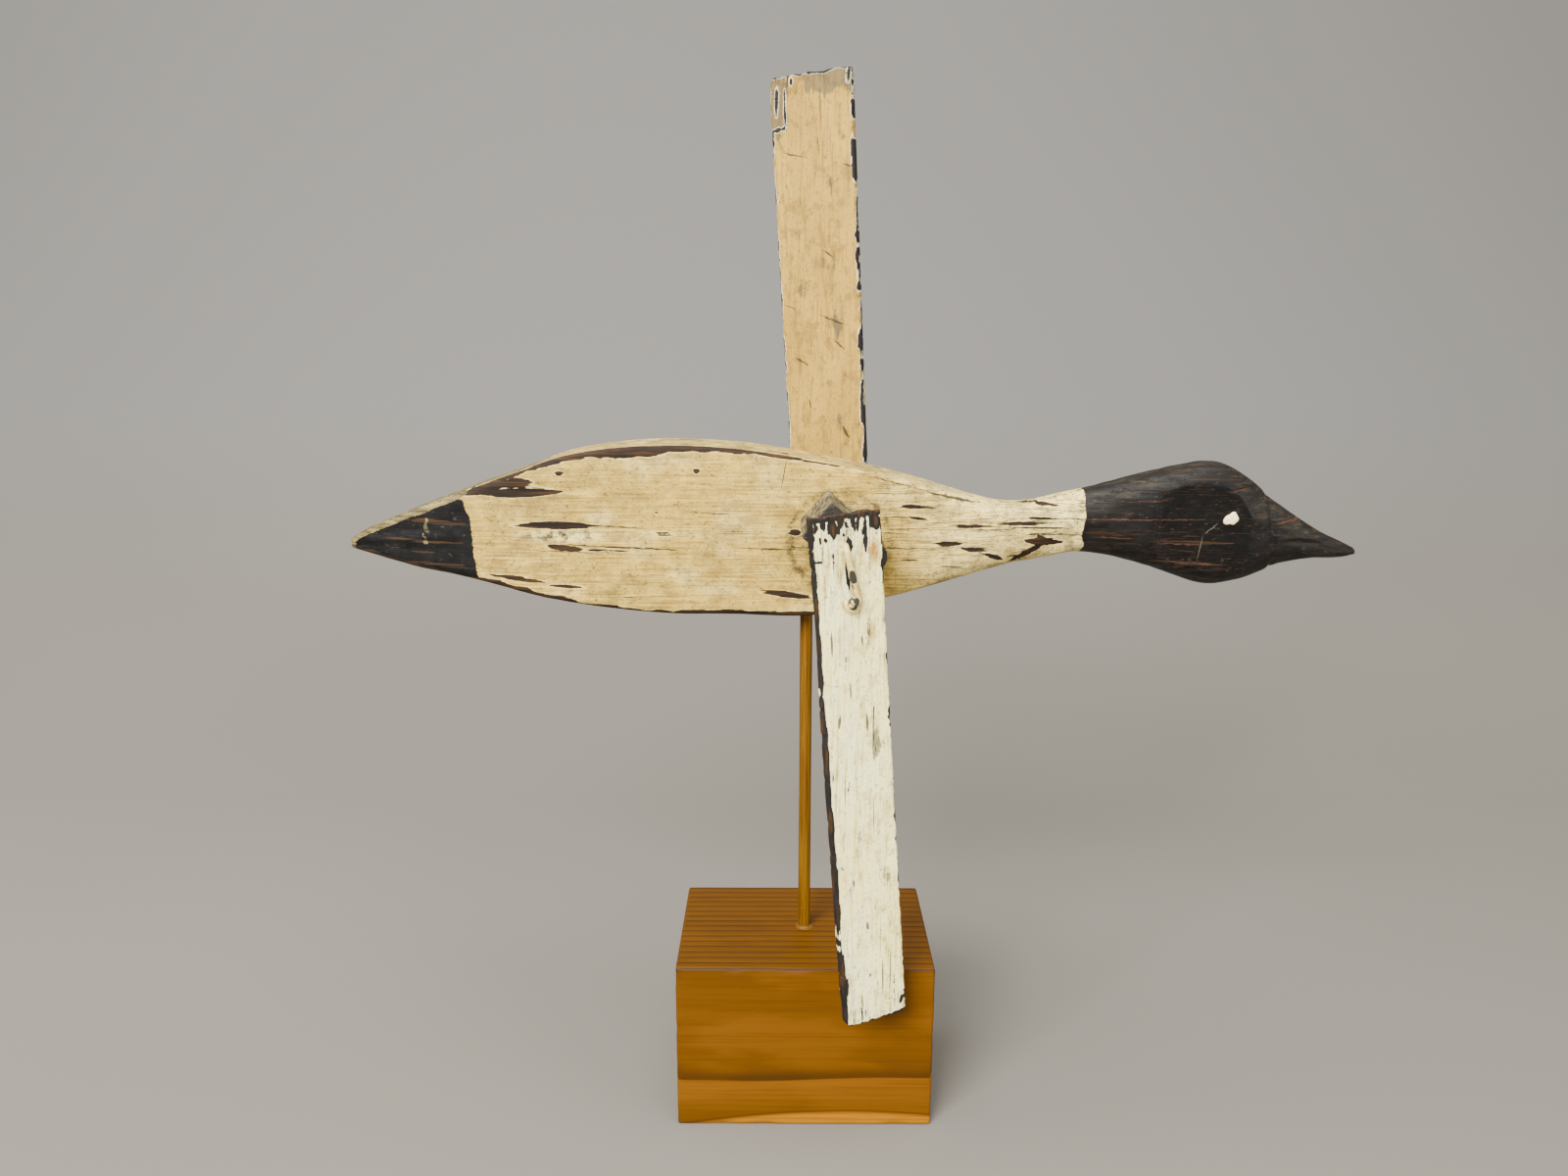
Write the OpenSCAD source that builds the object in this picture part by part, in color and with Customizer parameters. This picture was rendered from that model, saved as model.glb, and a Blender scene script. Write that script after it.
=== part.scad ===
// Duck whirligig on a display stand.
// A flat-sided carved duck swivels on a thin dowel that stands in a wooden block.
// A bent steel rod runs through the body and carries two pitched wings, one on each
// side, which spin together in the wind.
//
// Frame: origin at the centre of the block's underside, +X towards the bill,
// +Y towards the bird's left side, +Z up. The dowel stands on the Z axis.
// In a wing's own frame the wing hangs along -Z, its chord is X and -Y points
// away from the bird.

/* [Stand] */
// Length of the block along the bird
base_w = 131; // [100:1:170]
// Depth of the block from side to side
base_d = 89; // [70:1:90]
// Height of the block
base_h = 89; // [70:1:92]
// Bevel along every edge of the block
base_bevel = 1; // [0.4:0.1:3]
// Diameter of the dowel
dowel_d = 6.4; // [5:0.1:10]
// Depth of the dowel's hole in the block
dowel_sink = 40; // [20:1:60]

/* [Bird] */
// Length of the bird from tail tip to bill tip
bird_len = 500; // [400:1:620]
// Tallest height of the bird's body
bird_tall = 83; // [70:1:110]
// Thickness of the board that the bird is carved from
bird_thick = 38; // [32:1:50]
// Height of the line from tail tip to bill tip above the table
bird_z = 298; // [292:1:340]
// Distance from the tail tip forward to the dowel
dowel_from_tail = 227; // [200:1:240]
// Distance from the belly up to the end of the swivel hole
swivel_deep = 32; // [20:1:40]

/* [Axle] */
// Distance of the axle in front of the dowel
axle_x = 15.7; // [13:0.1:30]
// Height of the axle above the tail-to-bill line
axle_up = 11.7; // [5:0.1:20]
// Diameter of the axle rod
rod_d = 3.2; // [2.4:0.1:4]
// Wall of the tube that lines the axle hole
tube_wall = 0.8; // [0.5:0.1:1.5]
// Bend radius of the rod at its centre line
rod_bend = 3.2; // [2.6:0.1:4]
// Distance from the axle to the rod's hooked end
hook_reach = 26; // [23:1:34]
// Radius of the hooked end at the rod's centre line
hook_r = 3.3; // [2.8:0.1:5]
// How far the hooked end is curled round
hook_turn = 228; // [180:1:250]

/* [Hubs] */
// Long side of a hub block's section
hub_long = 39.5; // [25:0.5:45]
// Short side of a hub block's section
hub_short = 20; // [16:1:26]
// Turn of a hub block's long side below level
hub_turn = 42; // [35:1:50]
// Radius worn on one corner of a hub block
hub_worn = 7; // [2:0.5:8]
// How far the middle of a hub block lies from the axle, along its longer side
hub_off = 2.3; // [0:0.1:5]
// Outside diameter of a washer
washer_d = 13; // [9:0.5:16]
// Thickness of a washer
washer_t = 1; // [0.6:0.1:2]

/* [Wings] */
// Distance from the bird's middle to the middle of a wing, at the axle
wing_out = 64; // [62:1:90]
// Thickness of a wing
wing_t = 4.5; // [3:0.1:6]
// Length of a wing past the axle at its root end
wing_root = 14; // [12:0.5:18]
// Length of the right wing from the axle to its tip
right_tip = 235; // [150:1:240]
// Length of the left wing from the axle to its tip
left_tip = 222; // [150:1:225]
// Width of the right wing at its root end
right_root_w = 35.5; // [30:0.5:40]
// Width of the right wing at its tip
right_tip_w = 33.5; // [24:0.5:40]
// Width of the left wing at its root end
left_root_w = 45; // [36:0.5:48]
// Width of the left wing at its tip
left_tip_w = 47; // [36:0.5:48]
// Pitch of the right wing about its length
right_pitch = 23.5; // [5:0.5:32]
// Pitch of the left wing about its length
left_pitch = 27.5; // [5:0.5:32]
// Lean of the right wing from plumb, its tip towards the bill
right_lean = 4.3; // [0:0.1:8]
// Lean of the left wing from plumb, its tip towards the tail
left_lean = 3.4; // [0:0.1:8]
// How far the left wing's middle lies behind the axle
left_shift = 1.6; // [0:0.1:3]

/* [Fasteners] */
// Diameter of a wing screw's head
screw_head_d = 6; // [5:0.1:8]
// Height of a wing screw's domed head
screw_head_h = 1.8; // [1:0.1:3]
// Diameter of a brad's shank
brad_d = 1.4; // [1:0.1:2]
// Diameter of a brad's head
brad_head_d = 3; // [2.4:0.1:4]
// Length of a brad
brad_len = 17; // [12:1:18]
// Diameter of an eye tack's head
eye_d = 7.6; // [5:0.1:9]
// Height of an eye tack's domed head
eye_h = 1.4; // [0.8:0.1:2.5]
// Length of an eye tack's pin
eye_pin = 7; // [4:0.5:10]

/* [Hidden] */
$fn = 48;
eps = 0.01;
knuckle_gap = 0.1; // between two stretches of the rod, inside the ball that joins them

// Clearances
run_gap = 0.07;    // radial, between a turning pin and its hole
fit_gap = 0.03;    // between pieces of one body that are fixed to each other
side_gap = 0.3;    // between the bird's side and a spinning washer
loose_gap = 1.2;   // radial, round the bent rod where it leaves a wing
leg_gap = 0.1;     // between a wing and the rod's leg, and between the leg and the screw's head

// The bird's outline as drawn: [distance from the tail tip, height above the
// tail-to-bill line], tail first
drawn_len = 500;
drawn_tall = 83;
drawn_half = 19;
back_line = [[0, 3], [6, 7], [28, 16], [56, 27], [84, 37], [112, 46.5], [149, 51], [193, 49.8],
    [237, 43], [276, 34.5], [310, 25], [330, 22], [347, 24.5], [372, 31], [404, 39], [428, 42.5],
    [440, 37.5], [459, 23.5], [480, 9.5], [495, 2], [500, -0.5]];
belly_line = [[0, -2], [6, -3.5], [36, -10.5], [63, -15.5], [100, -24.5], [149, -31], [190, -32],
    [229, -32.5], [250, -27.5], [284, -19], [311, -12.5], [345, -5], [366, -2.5], [385, -6],
    [410, -14], [426, -18], [442, -16], [461, -9.5], [480, -6.5], [495, -5.5], [500, -4]];
// Half of the thickness as drawn, seen from above
side_line = [[0, 3], [20, 8], [60, 15], [104, 18.6], [140, 19], [285, 19], [320, 17], [348, 13.5],
    [372, 14], [400, 16.5], [432, 16.5], [452, 12.5], [472, 9], [490, 6.5], [500, 4]];
// How square the section is: 2 is an ellipse, 8 is nearly a rectangle
square_line = [[0, 3], [60, 6], [120, 9], [250, 8], [300, 3.6], [345, 2.4], [400, 3], [435, 3],
    [460, 2.4], [500, 2.2]];
station_step = 10; // distance between the sections of the body as drawn
ring_n = 32;       // points round one section

len_k = bird_len / drawn_len;
tall_k = bird_tall / drawn_tall;
half_k = bird_thick / 2 / drawn_half;

// Value at s of a smooth curve through the points of a line
function segment(line, s, i = 0) = i >= len(line) - 2 || s < line[i + 1][0] ? i : segment(line, s, i + 1);
function slope(line, i) = let (a = max(i - 1, 0), b = min(i + 1, len(line) - 1))
    (line[b][1] - line[a][1]) / (line[b][0] - line[a][0]);
function curve(line, s) = let (
    i = segment(line, s),
    h = line[i + 1][0] - line[i][0],
    t = (s - line[i][0]) / h)
    (2 * t ^ 3 - 3 * t ^ 2 + 1) * line[i][1] + (t ^ 3 - 2 * t ^ 2 + t) * h * slope(line, i)
    + (3 * t ^ 2 - 2 * t ^ 3) * line[i + 1][1] + (t ^ 3 - t ^ 2) * h * slope(line, i + 1);

// Sizes of the section at drawn distance s from the tail tip
function back(s) = bird_z + tall_k * curve(back_line, s);
function belly(s) = bird_z + tall_k * curve(belly_line, s);
function half(s) = half_k * min(curve(side_line, s), drawn_half);
function world_x(s) = s * len_k - dowel_from_tail;
function drawn_s(x) = (x + dowel_from_tail) / len_k;
// Half thickness at height z of the section at drawn distance s
function half_at(s, z) = let (
    mid = (back(s) + belly(s)) / 2,
    f = abs(z - mid) / ((back(s) - belly(s)) / 2),
    n = curve(square_line, s))
    half(s) * (1 - f ^ n) ^ (1 / n);
function section(s) = let (
    n = curve(square_line, s),
    mid = (back(s) + belly(s)) / 2,
    tall = (back(s) - belly(s)) / 2)
    [for (k = [0 : ring_n - 1]) let (a = 360 * (k + 0.5) / ring_n, c = cos(a), d = sin(a))
        [world_x(s), sign(c) * half(s) * abs(c) ^ (2 / n), mid + sign(d) * tall * abs(d) ^ (2 / n)]];

// Places worked out from the sizes above
bird_half = bird_thick / 2;
axle_z = bird_z + axle_up;
tube_id = rod_d + 2 * run_gap;
tube_od = tube_id + 2 * tube_wall;
sleeve_id = dowel_d + 2 * run_gap;
sleeve_od = sleeve_id + 1.6;
belly_z = belly(drawn_s(0));
swivel_top = belly_z + swivel_deep;
cap_t = 1.5;
sleeve_bottom = belly_z + 1.5;
sleeve_top = swivel_top - cap_t - 2 * fit_gap;
dowel_top = sleeve_top - fit_gap;
hub_start = bird_half + side_gap + washer_t + fit_gap;
// The leg of the rod lies on the wing's outer face
leg_lift = wing_t / 2 + leg_gap + rod_d / 2;
// Brads, as [chord, along the wing] from the axle
brad_places = [[8.5, 3], [-4, 8]];
eye_s = 433;       // drawn distance of the eye from the tail tip
eye_up = 16;       // drawn height of the eye above the tail-to-bill line
eye_z = bird_z + eye_up * tall_k;
eye_y = half_at(eye_s, eye_z);

// Values for one side: 0 is the right side, 1 is the left side
function tip(side) = [right_tip, left_tip][side];
function root_w(side) = [right_root_w, left_root_w][side];
function tip_w(side) = [right_tip_w, left_tip_w][side];
function pitch(side) = [right_pitch, left_pitch][side];
function lean(side) = [right_lean, -left_lean][side];
function shift(side) = [0, -left_shift][side];

// A side's frame on the axle: the wing hangs along -Z and -Y points away from the bird
module axle_frame(side)
    translate([axle_x, 0, axle_z]) rotate([180 * side, 0, 0]) rotate([0, -lean(side), 0]) children();
// The same frame moved to the wing's middle plane and turned by its pitch
module wing_frame(side)
    axle_frame(side) translate([0, -wing_out, 0]) rotate([0, 0, pitch(side)]) children();
// A cylinder along -Y from the origin
module out_cylinder(d, h) rotate([90, 0, 0]) cylinder(d = d, h = h);

module eased_box(size, ease) {
    module face(a, b) polygon([[ease, 0], [a - ease, 0], [a, ease], [a, b - ease], [a - ease, b],
        [ease, b], [0, b - ease], [0, ease]]);
    intersection() {
        linear_extrude(size[2]) face(size[0], size[1]);
        translate([0, size[1], 0]) rotate([90, 0, 0]) linear_extrude(size[1]) face(size[0], size[2]);
        rotate([90, 0, 90]) linear_extrude(size[0]) face(size[1], size[2]);
    }
}

module base_block() {
    color([0.72, 0.45, 0.1])
    difference() {
        translate([-base_w / 2, -base_d / 2, 0]) eased_box([base_w, base_d, base_h], base_bevel);
        translate([0, 0, base_h - dowel_sink]) cylinder(d = dowel_d + 2 * fit_gap, h = dowel_sink + eps);
    }
}

module support_dowel() {
    color([0.75, 0.5, 0.12])
    translate([0, 0, base_h - dowel_sink + fit_gap])
        cylinder(d = dowel_d, h = dowel_top - base_h + dowel_sink - fit_gap);
}

// The bird's outer shape: one section every station_step, closed at both tips
module carved_shape() {
    stations = concat([0, 2, 5], [for (s = [station_step : station_step : drawn_len - station_step]) s],
        [drawn_len - 5, drawn_len - 2, drawn_len]);
    rings = [for (s = stations) section(s)];
    points = [for (r = rings) for (p = r) p];
    last = len(stations) - 1;
    walls = [for (i = [0 : last - 1]) for (k = [0 : ring_n - 1]) let (m = (k + 1) % ring_n)
        each [[i * ring_n + k, i * ring_n + m, (i + 1) * ring_n + m],
            [i * ring_n + k, (i + 1) * ring_n + m, (i + 1) * ring_n + k]]];
    tail_cap = [[for (k = [ring_n - 1 : -1 : 0]) k]];
    bill_cap = [[for (k = [0 : ring_n - 1]) last * ring_n + k]];
    polyhedron(points, concat(walls, tail_cap, bill_cap));
}

module bird_body() {
    color([0.84, 0.77, 0.6])
    difference() {
        carved_shape();
        translate([axle_x, bird_half + 1, axle_z]) out_cylinder(tube_od + 2 * fit_gap, bird_thick + 2);
        translate([0, 0, belly_z - 5]) cylinder(d = sleeve_od + 2 * fit_gap, h = swivel_deep + 5);
        for (side = [0, 1])
            mirror([0, side, 0]) translate([world_x(eye_s), -eye_y + eye_pin + fit_gap, eye_z])
                out_cylinder(1.5 + 2 * fit_gap, eye_pin + 5);
    }
}

// A domed tack that stands for the bird's painted eye
module eye_tack(side) {
    ball_r = (eye_d ^ 2 / 4 + eye_h ^ 2) / (2 * eye_h);
    color([0.86, 0.8, 0.66])
    mirror([0, side, 0]) translate([world_x(eye_s), -eye_y - 0.35, eye_z]) {
        rotate([90, 0, 0]) intersection() {
            translate([0, 0, eye_h - ball_r]) sphere(r = ball_r);
            cylinder(d = eye_d, h = eye_h + 1);
        }
        translate([0, eye_pin, 0]) out_cylinder(1.5, eye_pin + eps);
    }
}
module right_eye_tack() eye_tack(0);
module left_eye_tack() eye_tack(1);

module swivel_sleeve() {
    color([0.72, 0.6, 0.3])
    translate([0, 0, sleeve_bottom]) difference() {
        cylinder(d = sleeve_od, h = sleeve_top - sleeve_bottom);
        translate([0, 0, -1]) cylinder(d = sleeve_id, h = sleeve_top - sleeve_bottom + 2);
    }
}

module swivel_cap() {
    color([0.5, 0.5, 0.52])
    translate([0, 0, sleeve_top + fit_gap]) cylinder(d = sleeve_od, h = cap_t);
}

module axle_tube() {
    color([0.72, 0.6, 0.3])
    translate([axle_x, bird_half, axle_z]) difference() {
        out_cylinder(tube_od, bird_thick);
        translate([0, 1, 0]) out_cylinder(tube_id, bird_thick + 2);
    }
}

// Where the middle line of the rod's leg would meet the axle: how far out, and how far
// behind the wing's own middle line because of the pitch
function corner_out(side) = wing_out + leg_lift / cos(pitch(side));
function corner_back(side) = leg_lift * tan(pitch(side));
// The leg runs from there to touch the hook's front, so it slews in the wing's plane
function hook_away(side) = norm([hook_reach, corner_back(side)]);
function leg_slew(side) = atan(corner_back(side) / hook_reach) + asin(hook_r / hook_away(side));
function leg_len(side) = sqrt(hook_away(side) ^ 2 - hook_r ^ 2);
// The elbow turns by a square angle and a little more, and takes this much off each side
function turn_back(side) = asin(sin(leg_slew(side)) * sin(pitch(side)));
function elbow_in(side) = rod_bend * tan((90 + turn_back(side)) / 2);

// A ball that joins two stretches of the rod, which stop just inside it
module rod_knuckle() sphere(d = rod_d + 0.12);

// One end of the rod: an elbow, a leg along the wing and a hook round the screw
module rod_end(side) {
    turn_in_plane = atan(tan(leg_slew(side)) * cos(pitch(side)));
    leg = leg_len(side) - elbow_in(side);
    axle_frame(side) rotate([0, -turn_in_plane, 0]) translate([0, -corner_out(side), 0]) {
        translate([0, elbow_in(side), 0]) rod_knuckle();
        translate([0, elbow_in(side), -rod_bend]) rotate([180, -90, 0])
            rotate_extrude(angle = 90 + turn_back(side)) translate([rod_bend, 0]) circle(d = rod_d);
        rotate([180 + turn_back(side), 0, 0]) translate([0, 0, elbow_in(side)]) {
            rod_knuckle();
            translate([0, 0, knuckle_gap]) cylinder(d = rod_d, h = leg - 2 * knuckle_gap);
            translate([0, 0, leg]) rod_knuckle();
        }
    }
    wing_frame(side) translate([0, -leg_lift, -hook_reach]) rotate([0, -leg_slew(side), 0]) rotate([-90, 0, 0])
        rotate_extrude(angle = hook_turn) translate([hook_r, 0]) circle(d = rod_d);
}

module axle_rod() {
    right_end = corner_out(0) - elbow_in(0) - knuckle_gap;
    left_end = corner_out(1) - elbow_in(1) - knuckle_gap;
    color([0.8, 0.74, 0.6])
    union() {
        translate([axle_x, left_end, axle_z]) out_cylinder(rod_d, left_end + right_end);
        rod_end(0);
        rod_end(1);
    }
}

module washer(side) {
    color([0.45, 0.42, 0.4])
    axle_frame(side) translate([0, -bird_half - side_gap, 0]) difference() {
        out_cylinder(washer_d, washer_t);
        translate([0, 1, 0]) out_cylinder(rod_d + 2 * fit_gap, washer_t + 2);
    }
}
module right_washer() washer(0);
module left_washer() washer(1);

// A hub block's section, off centre on the axle, with the corner that points forward worn round
module hub_section() {
    corner = [hub_off + hub_long / 2 - hub_worn, hub_short / 2 - hub_worn];
    difference() {
        translate([hub_off, 0]) square([hub_long, hub_short], center = true);
        translate(corner) square(hub_worn + 1);
    }
    translate(corner) intersection() {
        square(hub_worn);
        circle(r = hub_worn);
    }
}

module brad_holes(side, d)
    for (p = brad_places) wing_frame(side) translate([p[0], 1, p[1]])
        translate([0, brad_len, 0]) out_cylinder(d, brad_len + wing_t + 3);

module hub_block(side) {
    color([0.66, 0.6, 0.48])
    difference() {
        axle_frame(side) translate([0, -hub_start, 0]) rotate([90, 0, 0]) rotate([0, 0, -lean(side) - hub_turn])
            linear_extrude(wing_out - hub_start + hub_long / 2) hub_section();
        wing_frame(side) translate([-hub_long, wing_t / 2 + fit_gap - 2 * hub_long, -hub_long])
            cube(2 * hub_long);
        axle_frame(side) out_cylinder(rod_d + 2 * fit_gap, wing_out + hub_long);
        brad_holes(side, brad_d + 2 * fit_gap);
    }
}
module right_hub_block() hub_block(0);
module left_hub_block() hub_block(1);

module wing(side) {
    color([0.9, 0.86, 0.74])
    difference() {
        wing_frame(side) translate([shift(side), wing_t / 2, 0]) rotate([90, 0, 0]) linear_extrude(wing_t)
            polygon([[-root_w(side) / 2, wing_root], [-tip_w(side) / 2, -tip(side)],
                [tip_w(side) / 2, -tip(side)], [root_w(side) / 2, wing_root]]);
        axle_frame(side) out_cylinder(rod_d + 2 * loose_gap, wing_out + 20);
        wing_frame(side) translate([0, wing_t, -hook_reach]) out_cylinder(hook_r * 2 - rod_d, 2 * wing_t);
        brad_holes(side, brad_d + 2 * fit_gap);
        for (p = brad_places) wing_frame(side) translate([p[0], -wing_t / 2 + 1, p[1]])
            out_cylinder(brad_head_d + 2 * fit_gap, 2);
    }
}
module right_wing() wing(0);
module left_wing() wing(1);

// Two brads that hold a wing to its hub block, their heads flush with the wing
module wing_brads(side) {
    color([0.35, 0.25, 0.2])
    for (p = brad_places) wing_frame(side) translate([p[0], -wing_t / 2 + 0.95, p[1]]) {
        out_cylinder(brad_head_d, 0.8);
        translate([0, brad_len, 0]) out_cylinder(brad_d, brad_len + eps);
    }
}
module right_wing_brads() wing_brads(0);
module left_wing_brads() wing_brads(1);

// A round-headed screw through the rod's hook into the wing
module wing_screw(side) {
    ball_r = (screw_head_d ^ 2 / 4 + screw_head_h ^ 2) / (2 * screw_head_h);
    head_at = wing_t / 2 + rod_d + 2 * leg_gap;
    color([0.55, 0.5, 0.42])
    wing_frame(side) translate([0, 0, -hook_reach]) {
        translate([0, -head_at, 0]) rotate([90, 0, 0]) intersection() {
            translate([0, 0, screw_head_h - ball_r]) sphere(r = ball_r);
            cylinder(d = screw_head_d, h = screw_head_h + 1);
        }
        translate([0, wing_t / 2 - 0.4, 0])
            out_cylinder(hook_r * 2 - rod_d - 2 * fit_gap, wing_t / 2 - 0.4 + head_at + eps);
    }
}
module right_wing_screw() wing_screw(0);
module left_wing_screw() wing_screw(1);

base_block();
support_dowel();
bird_body();
right_eye_tack();
left_eye_tack();
swivel_sleeve();
swivel_cap();
axle_tube();
axle_rod();
right_washer();
left_washer();
right_hub_block();
left_hub_block();
right_wing();
left_wing();
right_wing_brads();
left_wing_brads();
right_wing_screw();
left_wing_screw();
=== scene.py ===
"""The looks of the duck whirligig: carved and painted boards, worn metal and a stained block.

Lengths inside the shape functions are millimetres in the frame's axes, and MM turns them
into metres when a mesh is made. +X points to the bill, +Y away from the viewer, +Z up.
"""

import math

import bpy
import numpy as np
from mathutils import Matrix, Vector


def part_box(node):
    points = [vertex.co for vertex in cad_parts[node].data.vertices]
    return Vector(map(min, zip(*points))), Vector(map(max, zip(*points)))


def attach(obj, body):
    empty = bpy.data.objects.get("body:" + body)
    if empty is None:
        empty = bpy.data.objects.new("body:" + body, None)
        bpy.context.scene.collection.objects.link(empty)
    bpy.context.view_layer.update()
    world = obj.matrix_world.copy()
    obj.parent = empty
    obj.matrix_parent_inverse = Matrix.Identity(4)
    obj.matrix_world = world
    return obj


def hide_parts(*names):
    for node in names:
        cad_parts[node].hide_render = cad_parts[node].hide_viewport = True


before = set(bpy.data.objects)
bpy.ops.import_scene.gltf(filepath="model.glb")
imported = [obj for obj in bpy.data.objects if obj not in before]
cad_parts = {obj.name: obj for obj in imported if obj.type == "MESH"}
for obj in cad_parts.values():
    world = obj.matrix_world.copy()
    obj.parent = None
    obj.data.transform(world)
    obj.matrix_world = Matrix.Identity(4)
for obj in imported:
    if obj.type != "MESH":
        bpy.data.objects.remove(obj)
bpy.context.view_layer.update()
MM = 0.001

# ---------------------------------------------------------------- sizes from the CAD design

BIRD_LEN, BIRD_Z, DOWEL_S, BIRD_HALF = 500.0, 298.0, 227.0, 19.0
AXLE_X, AXLE_Z = 15.7, 309.7
ROD_R, ROD_BEND, HOOK_REACH, HOOK_R, HOOK_TURN = 1.6, 3.2, 26.0, 3.3, 228.0
HUB_LONG, HUB_SHORT, HUB_OFF, HUB_TURN, HUB_START, HUB_WORN = 39.5, 20.0, 2.3, 42.0, 20.33, 7.0
WING_OUT, WING_T, WING_ROOT = 64.0, 4.5, 14.0
# Distances from the tail tip to where the black tail ends, the black head begins and the bill begins
TAIL_PAINT, HEAD_PAINT, BILL_START = 63.0, 362.0, 455.5
# Half the width of the flat cheeks, and the dark ring on the sides round the hub blocks: grime where the
# blocks rub, and painted shade
CHEEK, RUB_SHADE_X, RUB_SHADE_Z, RUB_SHADE_R = 14.4, 15.5, 303.0, 24.4
# The block's growth rings, in metres: their spacing, and the height and distance of their centre
RING_GAP, PITH_Z, PITH_AWAY = 0.0054, 0.060, 0.300
# The camera: place in metres, degrees down and of roll, and its lens in millimetres
CAMERA, LOOK_DOWN, ROLL, LENS = (-0.0114, -0.5801, 0.4049), 12.57, -0.21, 27
LEG_LIFT = WING_T / 2 + 0.1 + ROD_R
# Right side, left side
SIDES = ("right", "left")
TIP = (235.0, 222.0)
ROOT_W = (35.5, 45.0)
TIP_W = (33.5, 47.0)
PITCH = (23.5, 27.5)
LEAN = (4.3, -3.4)
SHIFT = (0.0, -1.6)

# The bird's outline: [distance from the tail tip, height above the tail-to-bill line]
BACK = [[0, 3], [6, 7], [28, 16], [56, 27], [84, 37], [112, 46.5], [149, 51], [193, 49.8],
        [237, 43], [276, 34.5], [310, 25], [330, 22], [347, 24.5], [372, 31], [404, 39], [428, 42.5],
        [440, 37.5], [459, 23.5], [480, 9.5], [495, 2], [500, -0.5]]
BELLY = [[0, -2], [6, -3.5], [36, -10.5], [63, -15.5], [100, -24.5], [149, -31], [190, -32],
         [229, -32.5], [250, -27.5], [284, -19], [311, -12.5], [345, -5], [366, -2.5], [385, -6],
         [410, -14], [426, -18], [442, -16], [461, -9.5], [480, -6.5], [495, -5.5], [500, -4]]
# Half of the thickness seen from above, and how square the section is
HALF = [[0, 3], [20, 8], [60, 15], [104, 18.6], [140, 19], [285, 19], [320, 17], [348, 13.5],
        [372, 14], [400, 16.5], [432, 16.5], [452, 12.5], [472, 9], [490, 6.5], [500, 4]]
SQUARE = [[0, 3], [60, 7], [120, 11], [250, 9], [300, 3.8], [345, 2.5], [400, 3], [435, 3],
          [460, 2.4], [500, 2.2]]


# ---------------------------------------------------------------- numbers over arrays

def curve(line, s):
    """Cubic Hermite curve through a line's points, with slopes from each point's neighbours."""
    x, y = np.array(line, float).T
    last = len(x) - 1
    before, after = np.maximum(np.arange(last + 1) - 1, 0), np.minimum(np.arange(last + 1) + 1, last)
    slope = (y[after] - y[before]) / (x[after] - x[before])
    i = np.clip(np.searchsorted(x, s, side="right") - 1, 0, last - 1)
    h = x[i + 1] - x[i]
    t = (s - x[i]) / h
    return ((2 * t**3 - 3 * t**2 + 1) * y[i] + (t**3 - 2 * t**2 + t) * h * slope[i]
            + (3 * t**2 - 2 * t**3) * y[i + 1] + (t**3 - t**2) * h * slope[i + 1])


def smooth(low, high, x):
    """0 below low, 1 above high, and the cubic 3t^2 - 2t^3 between."""
    t = np.clip((x - low) / (high - low), 0, 1)
    return t * t * (3 - 2 * t)


def lattice(x, y, seed, facets=False):
    """Noise from -1 to 1: random heights on a unit lattice, blended smoothly, or straight
    for facets like knife cuts. It repeats every 64 cells."""
    heights = np.random.default_rng(seed).uniform(-1, 1, (64, 64))
    i, j = np.floor(x).astype(int), np.floor(y).astype(int)
    u, v = x - i, y - j
    if not facets:
        u, v = u * u * (3 - 2 * u), v * v * (3 - 2 * v)
    at = lambda a, b: heights[a % 64, b % 64]
    return ((at(i, j) * (1 - u) + at(i + 1, j) * u) * (1 - v)
            + (at(i, j + 1) * (1 - u) + at(i + 1, j + 1) * u) * v)


def strokes(marks, a, b):
    """Depth in millimetres inside the thickest of a set of tapered strokes, negative outside.
    A mark is [a0, b0, a1, b1, half thickness]; its thickness fades to a point at both ends."""
    best = np.full(np.shape(a), -6.0)
    for a0, b0, a1, b1, half in marks:
        da, db = a1 - a0, b1 - b0
        t = np.clip(((a - a0) * da + (b - b0) * db) / (da * da + db * db), 0, 1)
        away = np.hypot(a - a0 - t * da, b - b0 - t * db)
        best = np.maximum(best, half * (0.1 + 3.6 * t * (1 - t)) - away)
    return best


def blob(a, b, at, size):
    """1 at a place, falling off as a bell curve with its own width each way."""
    return np.exp(-((a - at[0]) / size[0]) ** 2 - ((b - at[1]) / size[1]) ** 2)


def turn(axis, degrees):
    return np.array(Matrix.Rotation(math.radians(degrees), 3, axis))


def side_place(side, points, pitched=True, out=WING_OUT):
    """Moves points from a wing's own frame (chord X, outwards -Y, root to tip -Z) to its place."""
    if pitched:
        points = points @ turn("Z", PITCH[side]).T
    points = points + (0, -out, 0)
    points = points @ turn("Y", -LEAN[side]).T @ turn("X", 180 * side).T
    return points + (AXLE_X, 0, AXLE_Z)


# ---------------------------------------------------------------- meshes

def tube_faces(rows, cols):
    """Quads of a grid that closes round its columns."""
    r, c = np.meshgrid(np.arange(rows - 1), np.arange(cols), indexing="ij")
    n = (c + 1) % cols
    here, above = r * cols, (r + 1) * cols
    return np.stack([here + c, here + n, above + n, above + c], -1).reshape(-1, 4)


def make_mesh(name, points, faces, material, body, stands_for=(), marks=None):
    """One finished piece from points in millimetres; marks are named values at its points."""
    mesh = bpy.data.meshes.new(name)
    mesh.from_pydata((np.asarray(points) * MM).tolist(), [], [list(map(int, f)) for f in faces])
    for mark, values in (marks or {}).items():
        mesh.attributes.new(mark, "FLOAT", "POINT").data.foreach_set("value", np.ravel(values).astype("f"))
    mesh.polygons.foreach_set("use_smooth", [True] * len(mesh.polygons))
    mesh.materials.append(material)
    mesh.update()
    piece = bpy.data.objects.new(name, mesh)
    bpy.context.collection.objects.link(piece)
    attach(piece, body)
    if stands_for:
        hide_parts(*stands_for)
    return piece


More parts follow.
